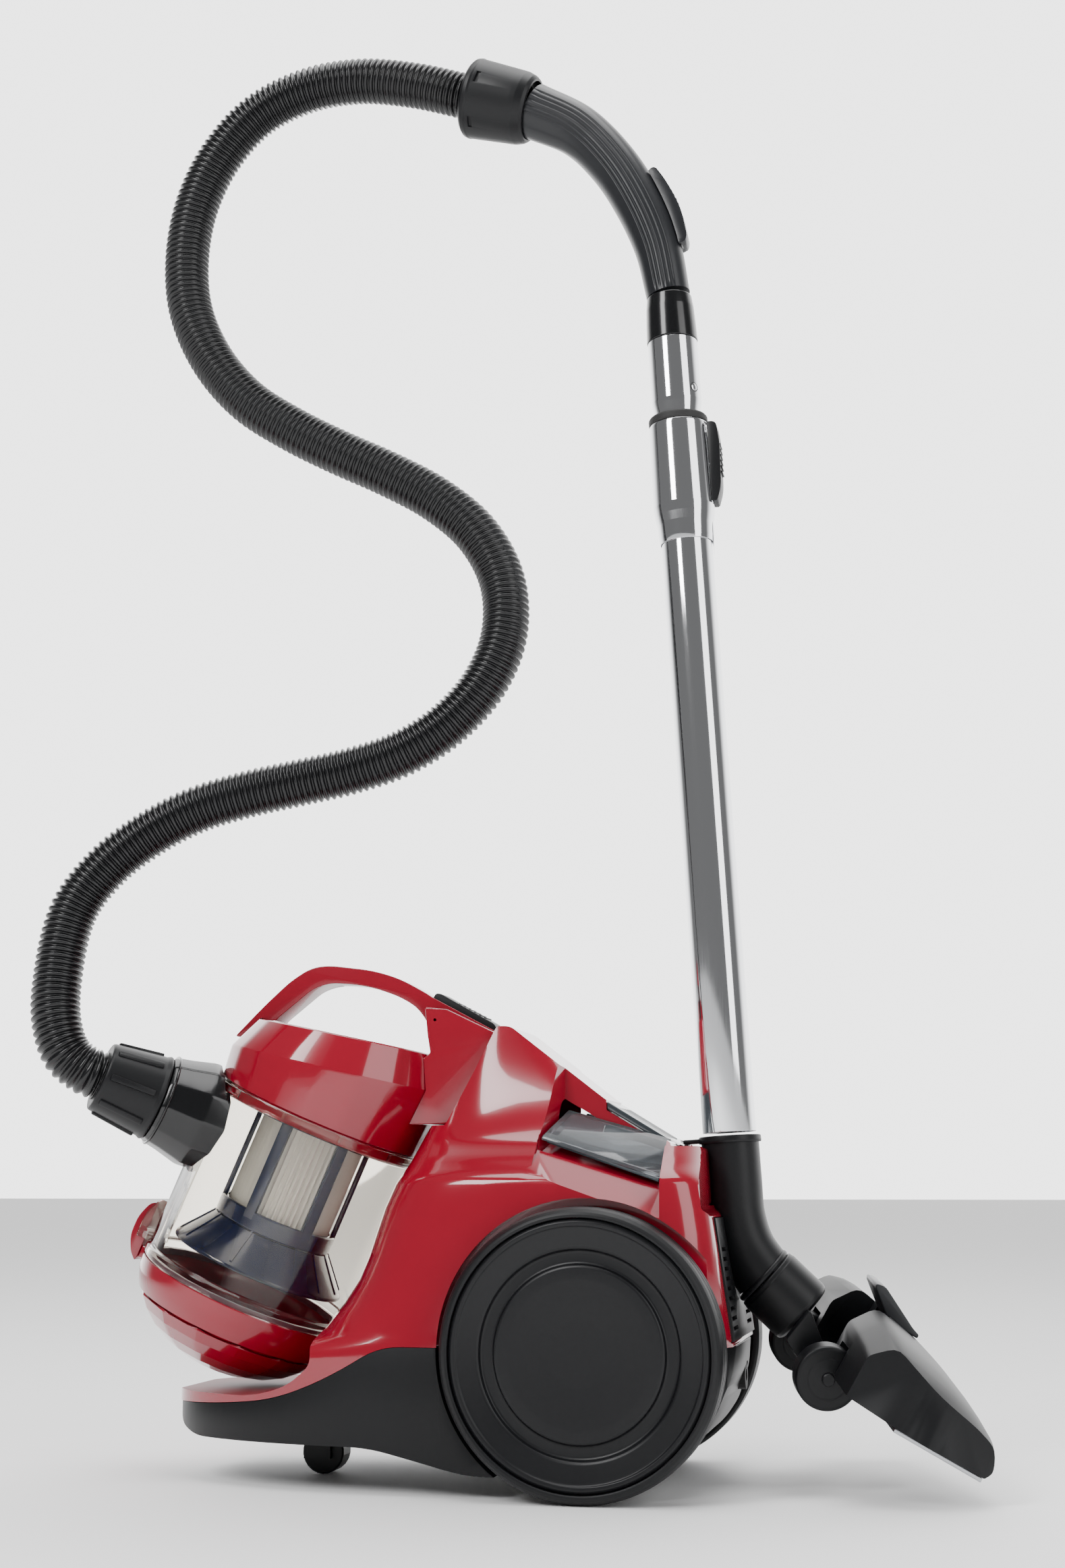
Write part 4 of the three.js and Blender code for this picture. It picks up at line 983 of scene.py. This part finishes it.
def handle():
    line, _ = catmull(GRIP, 90)

    def grooves(a, u):
        """Five grooves along each flank of the grip, running out at both ends."""
        d = min(abs(a), abs(a - 2 * math.pi), abs(a - math.pi))
        if d > GROOVE_SPAN:
            return 1.0
        ends = min(u / GROOVE_END, (1 - u) / GROOVE_END, 1.0)
        wave = 0.5 + 0.5 * math.cos(2 * math.pi * d / GROOVE_PITCH)
        return 1.0 - GROOVE_DEPTH * ends * wave ** 3

    grip = tube("grip_charcoal", line, GRIP_R, 288, grooves, angle=60)
    done(grip, "upper_wand", GREY, "handle_grip")

    cuff = [(17, 0), (24.6, 0), (26.2, 0.6), (28.2, 2.6), (28.8, 5.5), (28.4, 7), (26.4, 38), (26.0, 42),
            (24.4, 47), (22.6, 49.4), (20.8, 49.6), (20.8, 44), (17, 44)]
    shell = lathe("cuff_black", cuff, CUFF, 96, 0.5, 28)
    for turn in (-1.72, -0.5, 0.9, 2.2):
        combine(shell, block("slot", (-4.5, -30.5, 9.4), (4.5, -26.6, 12.4), CUFF @ turn_z(turn)))
    bevel(shell, 0.3, 2, 40, 28)
    done(shell, "cuff", BLACK, "hose_cuff")

    socket = [(13.5, 553.3), (17.7, 553.3), (17.9, 554), (17.5, 566), (16.9, 578), (15.9, 586.6),
              (15.2, 587.5), (13.5, 587.5)]
    done(lathe("socket_gloss", socket, WAND, 96, 0.3, 40), "upper_wand", GLOSS, "grip_socket")

    plate = [(31.5, 895), (36.5, 900), (39.5, 899.5), (45.5, 890.5), (51, 880), (55, 871), (58, 862),
             (61, 846.5), (60, 841.5), (50, 838), (40, 870)]
    slider = prism("vent_charcoal", corner_round(plate, [1, 1.5, 2, 4, 4, 4, 4, 2, 2, 1, 1], 3), -8.5, 8.5)
    combine(slider, tube("cutter", line, lambda u: GRIP_R(u) + 0.9, 64))
    bevel(slider, 0.7, 2, 35)
    parts = [slider]
    edge = [Vector((43, 0, 895)), Vector((49.6, 0, 883.6)), Vector((54.6, 0, 873)), Vector((58.2, 0, 861))]
    ridge, _ = catmull(edge, 11)
    for q in ridge:
        place = Matrix.Translation(q + Vector((-0.9, 0, -0.5))) @ turn_y(0.5)
        tooth = block("tooth", (-0.9, -7, -0.9), (0.9, 7, 0.9), place)
        bevel(tooth, 0.5, 2)
        parts.append(tooth)
    fit("vent_charcoal", parts, GREY, "vent", "vent_slider")


handle()


TEAR_HALF = 5.2


def telescopic_tube():
    inner = [(14.3, 70), (15.6, 70), (15.6, 497), (16.0, 499.5), (17.1, 505.5), (17.45, 508),
             (17.45, 553), (14.3, 553)]
    rod_ = lathe("upper_tube_chrome", inner, WAND, 128, 0.4, 40)
    spot = WAND @ Matrix.Translation((0, 0, 515)) @ turn_z(-0.62) @ Matrix.Translation((17.0, 0, 0))
    spot = spot @ turn_y(math.pi / 2)
    ring = lathe("hole_edge", [(2.7, -0.3), (3.5, -0.3), (3.5, 0.45), (2.7, 0.45)], spot, 32, 0.2)
    dot = lathe("detent", [(0, -0.3), (2.6, -0.3), (2.6, 0.5), (1.8, 0.9), (0, 1.0)], spot, 32)
    parts = [paint(rod_, CHROME), paint(ring, SEAL), paint(dot, CHROME)]
    fit("upper_tube_chrome", parts, None, "upper_wand", "inner_tube")
    seal = [(15.9, 491.3), (20.0, 491.3), (20.6, 492.2), (20.6, 495.6), (19.6, 497), (15.9, 497)]
    done(lathe("seal_black", seal, WAND, 96, 0.4, 40), "lower_wand", SEAL, "tube_seal")
    body = [(17.8, 405), (18.2, 405), (18.8, 409), (19.4, 418), (20.6, 425), (21.3, 431), (20.5, 489),
            (20.3, 491), (17.8, 491)]
    sleeve = lathe("sleeve_chrome", body, WAND, 128, 0.6, 40)
    combine(sleeve, block("window", (17.85, -8.4, 431), (30, 8.4, 490), WAND))
    rings = []
    for i in range(13):
        t = i / 12
        w = TEAR_HALF * math.sin(math.pi * min(t * 1.25, 1.0)) ** 0.5 * (1 - 0.62 * t) + 0.2
        ring = []
        for k in range(12):
            a = 2 * math.pi * k / 12
            ring.append((18.4 + 1.6 * math.cos(a) * (w / TEAR_HALF), w * math.sin(a), 426 - 30 * t))
        rings.append(ring)
    tear = loft("tear", rings, WAND, angle=60)
    fit("sleeve_chrome", [sleeve, tear], CHROME, "lower_wand", "tube_sleeve")
    face = [(20.4, 432), (24, 431.6), (27.4, 442), (28.6, 474), (27, 488), (24.5, 489.6), (20.4, 489.6)]
    button = prism("lock_black", corner_round(face, [0.5, 2, 5, 8, 4, 2, 0.5], 4), -8, 8, WAND)
    bevel(button, 1.2, 3, 40)
    parts = [button]
    for k in range(6):
        g = block("grip", (27.2, -5.5, 452 + 4 * k), (28.9, 5.5, 453.6 + 4 * k), WAND)
        bevel(g, 0.3, 2)
        parts.append(g)
    fit("lock_black", parts, BLACK, "tube_lock", "lock_button")
    low = [(16, 3.5), (17.5, 3.5), (17.5, 489), (16, 489)]
    low_tube = lathe("lower_tube_chrome", low, WAND, 128, 0.4, 40)
    done(low_tube, "lower_wand", CHROME, "outer_tube")


telescopic_tube()


# ---- neck and nozzle ----
def neck():
    line, _ = catmull(ELBOW_PATH, 40)
    parts = [tube("elbow_black", line, table_of([18.8, 18.8, 18.8, 19, 19.6]), 72)]
    rim = [(17.6, -3.2), (20.2, -3.2), (20.4, -1.8), (20.2, 1.0), (19.4, 1.4), (17.6, 1.4)]
    parts.append(lathe("rim", rim, WAND, 72, 0.3))
    tab = block("tab", (-30, -6.6, -2.6), (-18, 6.6, 0.2), WAND)
    bevel(tab, 0.8, 2)
    tongue = block("tongue", (-29.5, -6.2, -16), (-27, 6.2, -1), WAND)
    bevel(tongue, 0.6, 2)
    parts += [tab, tongue]
    ring = [(16, -3.4), (20.6, -3.4), (21.2, -2.4), (21.2, -1.0), (20.6, -0.2), (16, -0.2)]
    parts.append(lathe("ring", ring, NECK, 72, 0.3))
    fit("elbow_black", parts, BLACK, "lower_wand", "neck_elbow")

    body = [(0, 0.4), (21, 0.4), (21.8, 1.2), (22.0, 3.0), (22.4, 4.0), (22.4, 29), (21.8, 31.4), (20, 33),
            (0, 33)]
    parts = [lathe("swivel_black", body, NECK, 96, 0.4, 30)]
    cheek = [(-26, 4), (-6, -6.5), (4, -7), (7.6, 0), (4, 7), (-6, 15), (-22, 28)]
    for y0, y1 in ((14.6, 21.4), (-21.4, -14.6)):
        c = prism("cheek", corner_round(cheek, [2, 3, 4, 4, 4, 6, 3], 4), y0, y1, NOZZLE)
        bevel(c, 1.0, 2, 40)
        parts.append(c)
    parts.append(lathe("pin", [(0, -56), (3.4, -56), (4, -55.4), (4, 55.4), (3.4, 56), (0, 56)],
                       NOZZLE @ ACROSS, 40))
    fit("swivel_black", parts, BLACK, "swivel", "swivel_neck")

    rim = [(4.4, -8), (12, -8), (13, -7.4), (17.6, -7.8), (19.4, -7), (20, -5.6), (20, 5.6), (19.4, 7),
           (17.6, 7.8), (13, 7.4), (12, 8), (4.4, 8)]
    cap = [(0, 8.2), (9, 8.0), (11, 7.4), (11, -7.4), (9, -8.0), (0, -8.2)]
    for name, y in (("near", -46), ("far", 46)):
        place = NOZZLE @ Matrix.Translation((0, y, 0)) @ ACROSS
        parts = [lathe(f"roller_{name}", rim, place, 72, 0.4, 30), lathe("cap", cap, place, 64, 0.3, 40)]
        fit(f"roller_{name}", parts, BLACK, f"nozzle_roller_{name}", f"nozzle_wheel_{name}")


neck()


def nozzle_profile(y, height, front):
    """The nozzle's section at y. height is a factor on its top, front is where it ends."""
    pts = [(1, 3), (1, 8), (0.5, 34 * height), (12, 50 * height), (32, 46.5 * height),
           (53, 42 * height), (74, 35 * height), (88, 28 * height), (front - 2, 18 * height), (front, 8),
           (front - 3, 3.2), (54, 3)]
    pts = corner_round(pts, [1, 2, 3, 6, 9, 9, 8, 6, 4, 3, 1, 1], 3)
    return [(x, y, z) for x, z in pts]


BRISTLES, BRISTLE_SEED, BRUSH_HALF = 900, 7, 97


def nozzle():
    half = [(20, 1.02, 98), (60, 0.98, 98), (80, 0.94, 97.8), (104, 0.86, 97), (113, 0.78, 94.6),
            (117, 0.735, 93), (118, 0.70, 92.4)]
    stations = [(-y, height, front) for y, height, front in half[::-1]] + half
    shell = loft("nozzle_gloss", [nozzle_profile(*s) for s in stations], NOZZLE)
    corners = [(-2, -97), (45, -118.5), (99, -111), (99, 111), (45, 118.5), (-2, 97)]
    corners = corner_round(corners, [0, 16, 2, 2, 16, 0], 6)
    combine(shell, loft("plan", [[(f, y, t) for f, y in corners] for t in (-1, 70)], NOZZLE), "INTERSECT")
    cut_all(shell, [
        block("mouth", (36, -104, -5), (84, 104, 14), NOZZLE),
        block("throat", (30, -30, 5), (70, 30, 20), NOZZLE),
        block("rear", (-10, -28, -5), (25, 28, 70), NOZZLE),
        block("near", (-10, -56.5, -5), (24, -36.5, 23), NOZZLE),
        block("far", (-10, 36.5, -5), (24, 56.5, 23), NOZZLE),
        lathe("axle", [(0, -60), (5.4, -60), (5.4, 60), (0, 60)], NOZZLE @ ACROSS, 40),
        block("seat", (5, -16.4, 40), (49, 16.4, 80), NOZZLE),
    ])
    bevel(shell, 0.8, 2, 35, 30)
    tongue = [(-5, -6.2), (26, 4.2), (26, 12), (4, 7.6), (-5, 6.2), (-7.8, 0)]
    arm = prism("arm", corner_round(tongue, [3, 1, 1, 3, 3, 4], 4), -14.1, 14.1, NOZZLE)
    combine(arm, lathe("bore", [(0, -20), (4.4, -20), (4.4, 20), (0, 20)], NOZZLE @ ACROSS, 40))
    bevel(arm, 0.6, 2, 40)
    fit("nozzle_gloss", [shell, arm], NOZZLE_BLACK, "nozzle", "nozzle_shell")

    plate = block("sole_steel", (32, -110, 0), (92, 110, 2.7), NOZZLE)
    combine(plate, block("mouth", (40, -100, -2), (78, 100, 6), NOZZLE))
    bevel(plate, 0.6, 2)
    done(plate, "nozzle", STEEL, "sole_plate")

    pedal = [(27, 45), (48, 45), (48, 47.4), (43, 49), (14, 63.5), (8, 62), (9, 59.5)]
    p = prism("pedal_charcoal", corner_round(pedal, [1, 1, 1, 4, 3, 2, 1], 4), -15, 15, NOZZLE)
    bevel(p, 1.0, 3, 40)
    done(p, "mode_pedal", GREY, "nozzle_pedal")

    holder = block("holder", (41, -98, 8), (47, 98, 12), NOZZLE)
    bevel(holder, 0.4, 2)
    verts, faces = [], []
    rng = np.random.default_rng(BRISTLE_SEED)
    for i in range(BRISTLES):
        y = -BRUSH_HALF + 2 * BRUSH_HALF * (i + 0.5) / BRISTLES
        x = 42.2 + float(rng.uniform(-1.0, 1.0))
        dx, dy = float(rng.uniform(-0.5, 0.5)), float(rng.uniform(-0.4, 0.4))
        k = len(verts)
        verts += [(x - 0.12, y - 0.1, 9), (x + 0.12, y - 0.1, 9), (x, y + 0.12, 9), (x + dx, y + dy, -2.9)]
        faces += [[k, k + 1, k + 3], [k + 1, k + 2, k + 3], [k + 2, k, k + 3], [k, k + 2, k + 1]]
    tuft = make("tuft", verts, faces, NOZZLE, 60)
    parts = [paint(holder, SEAL), paint(tuft, BRISTLE)]
    fit("brush_black", parts, None, "brush", "brush_strip")


nozzle()


# ---- CAD pieces carried over, with their own finishes ----
CARRIED = {
    "axle_left": STEEL, "axle_right": STEEL, "motor": STEEL, "motor_fan": GREY, "motor_mount": SEAL,
    "cord_reel": GREY, "circuit_board": BOARD, "outlet_seal": SEAL, "inlet_filter": FOAM,
    "exhaust_filter": FOAM, "cord_bush": SEAL, "caster_fork": BLACK, "caster_wheel": TYRE,
    "lid_seal": SEAL, "door_seal": RIM_SEAL, "door_pin": STEEL,
}
for node, mat in CARRIED.items():
    paint(frame["nodes"][node], mat)


# ---- studio ----
FLOOR_HALF = 30.0


def studio():
    mesh = bpy.data.meshes.new("floor")
    s = FLOOR_HALF
    mesh.from_pydata([(-s, -s, 0), (s, -s, 0), (s, s, 0), (-s, s, 0)], [], [[0, 1, 2, 3]])
    floor = bpy.data.objects.new("floor", mesh)
    bpy.context.scene.collection.objects.link(floor)
    mat, _, _, bsdf = new_material("pale_floor")
    bsdf.inputs["Base Color"].default_value = (0.96, 0.96, 0.96, 1)
    bsdf.inputs["Roughness"].default_value = 0.7
    bsdf.inputs["Specular IOR Level"].default_value = 0.2
    mesh.materials.append(mat)

    world = bpy.data.worlds.new("studio")
    bpy.context.scene.world = world
    world.use_nodes = True
    nodes, links = world.node_tree.nodes, world.node_tree.links
    back = nodes["Background"]
    coord = nodes.new("ShaderNodeTexCoord")
    split = nodes.new("ShaderNodeSeparateXYZ")
    links.new(coord.outputs["Generated"], split.inputs["Vector"])
    back_wall = nodes.new("ShaderNodeMapRange")
    back_wall.interpolation_type = "SMOOTHSTEP"
    back_wall.inputs["From Min"].default_value = 0.15
    back_wall.inputs["From Max"].default_value = 0.75
    back_wall.inputs["To Min"].default_value = 0.2
    back_wall.inputs["To Max"].default_value = 3.4
    links.new(split.outputs["Y"], back_wall.inputs["Value"])
    back.inputs["Color"].default_value = (1, 1, 1, 1)
    links.new(back_wall.outputs["Result"], back.inputs["Strength"])

    def area(name, where, target, size, power, size_y):
        light = bpy.data.lights.new(name, "AREA")
        light.shape = "RECTANGLE"
        light.size = size
        light.size_y = size_y
        light.energy = power
        o = bpy.data.objects.new(name, light)
        bpy.context.scene.collection.objects.link(o)
        o.location = where
        o.rotation_euler = (Vector(target) - Vector(where)).to_track_quat("-Z", "Y").to_euler()

    area("key", (-1.1, -2.0, 2.1), (0, 0, 0.3), 0.8, 60, size_y=1.5)
    area("fill", (2.3, -1.4, 1.3), (0, 0, 0.4), 1.3, 32, size_y=2.2)
    area("top", (0.2, -0.2, 3.0), (0, 0, 0.3), 2.0, 60, size_y=1.6)


studio()
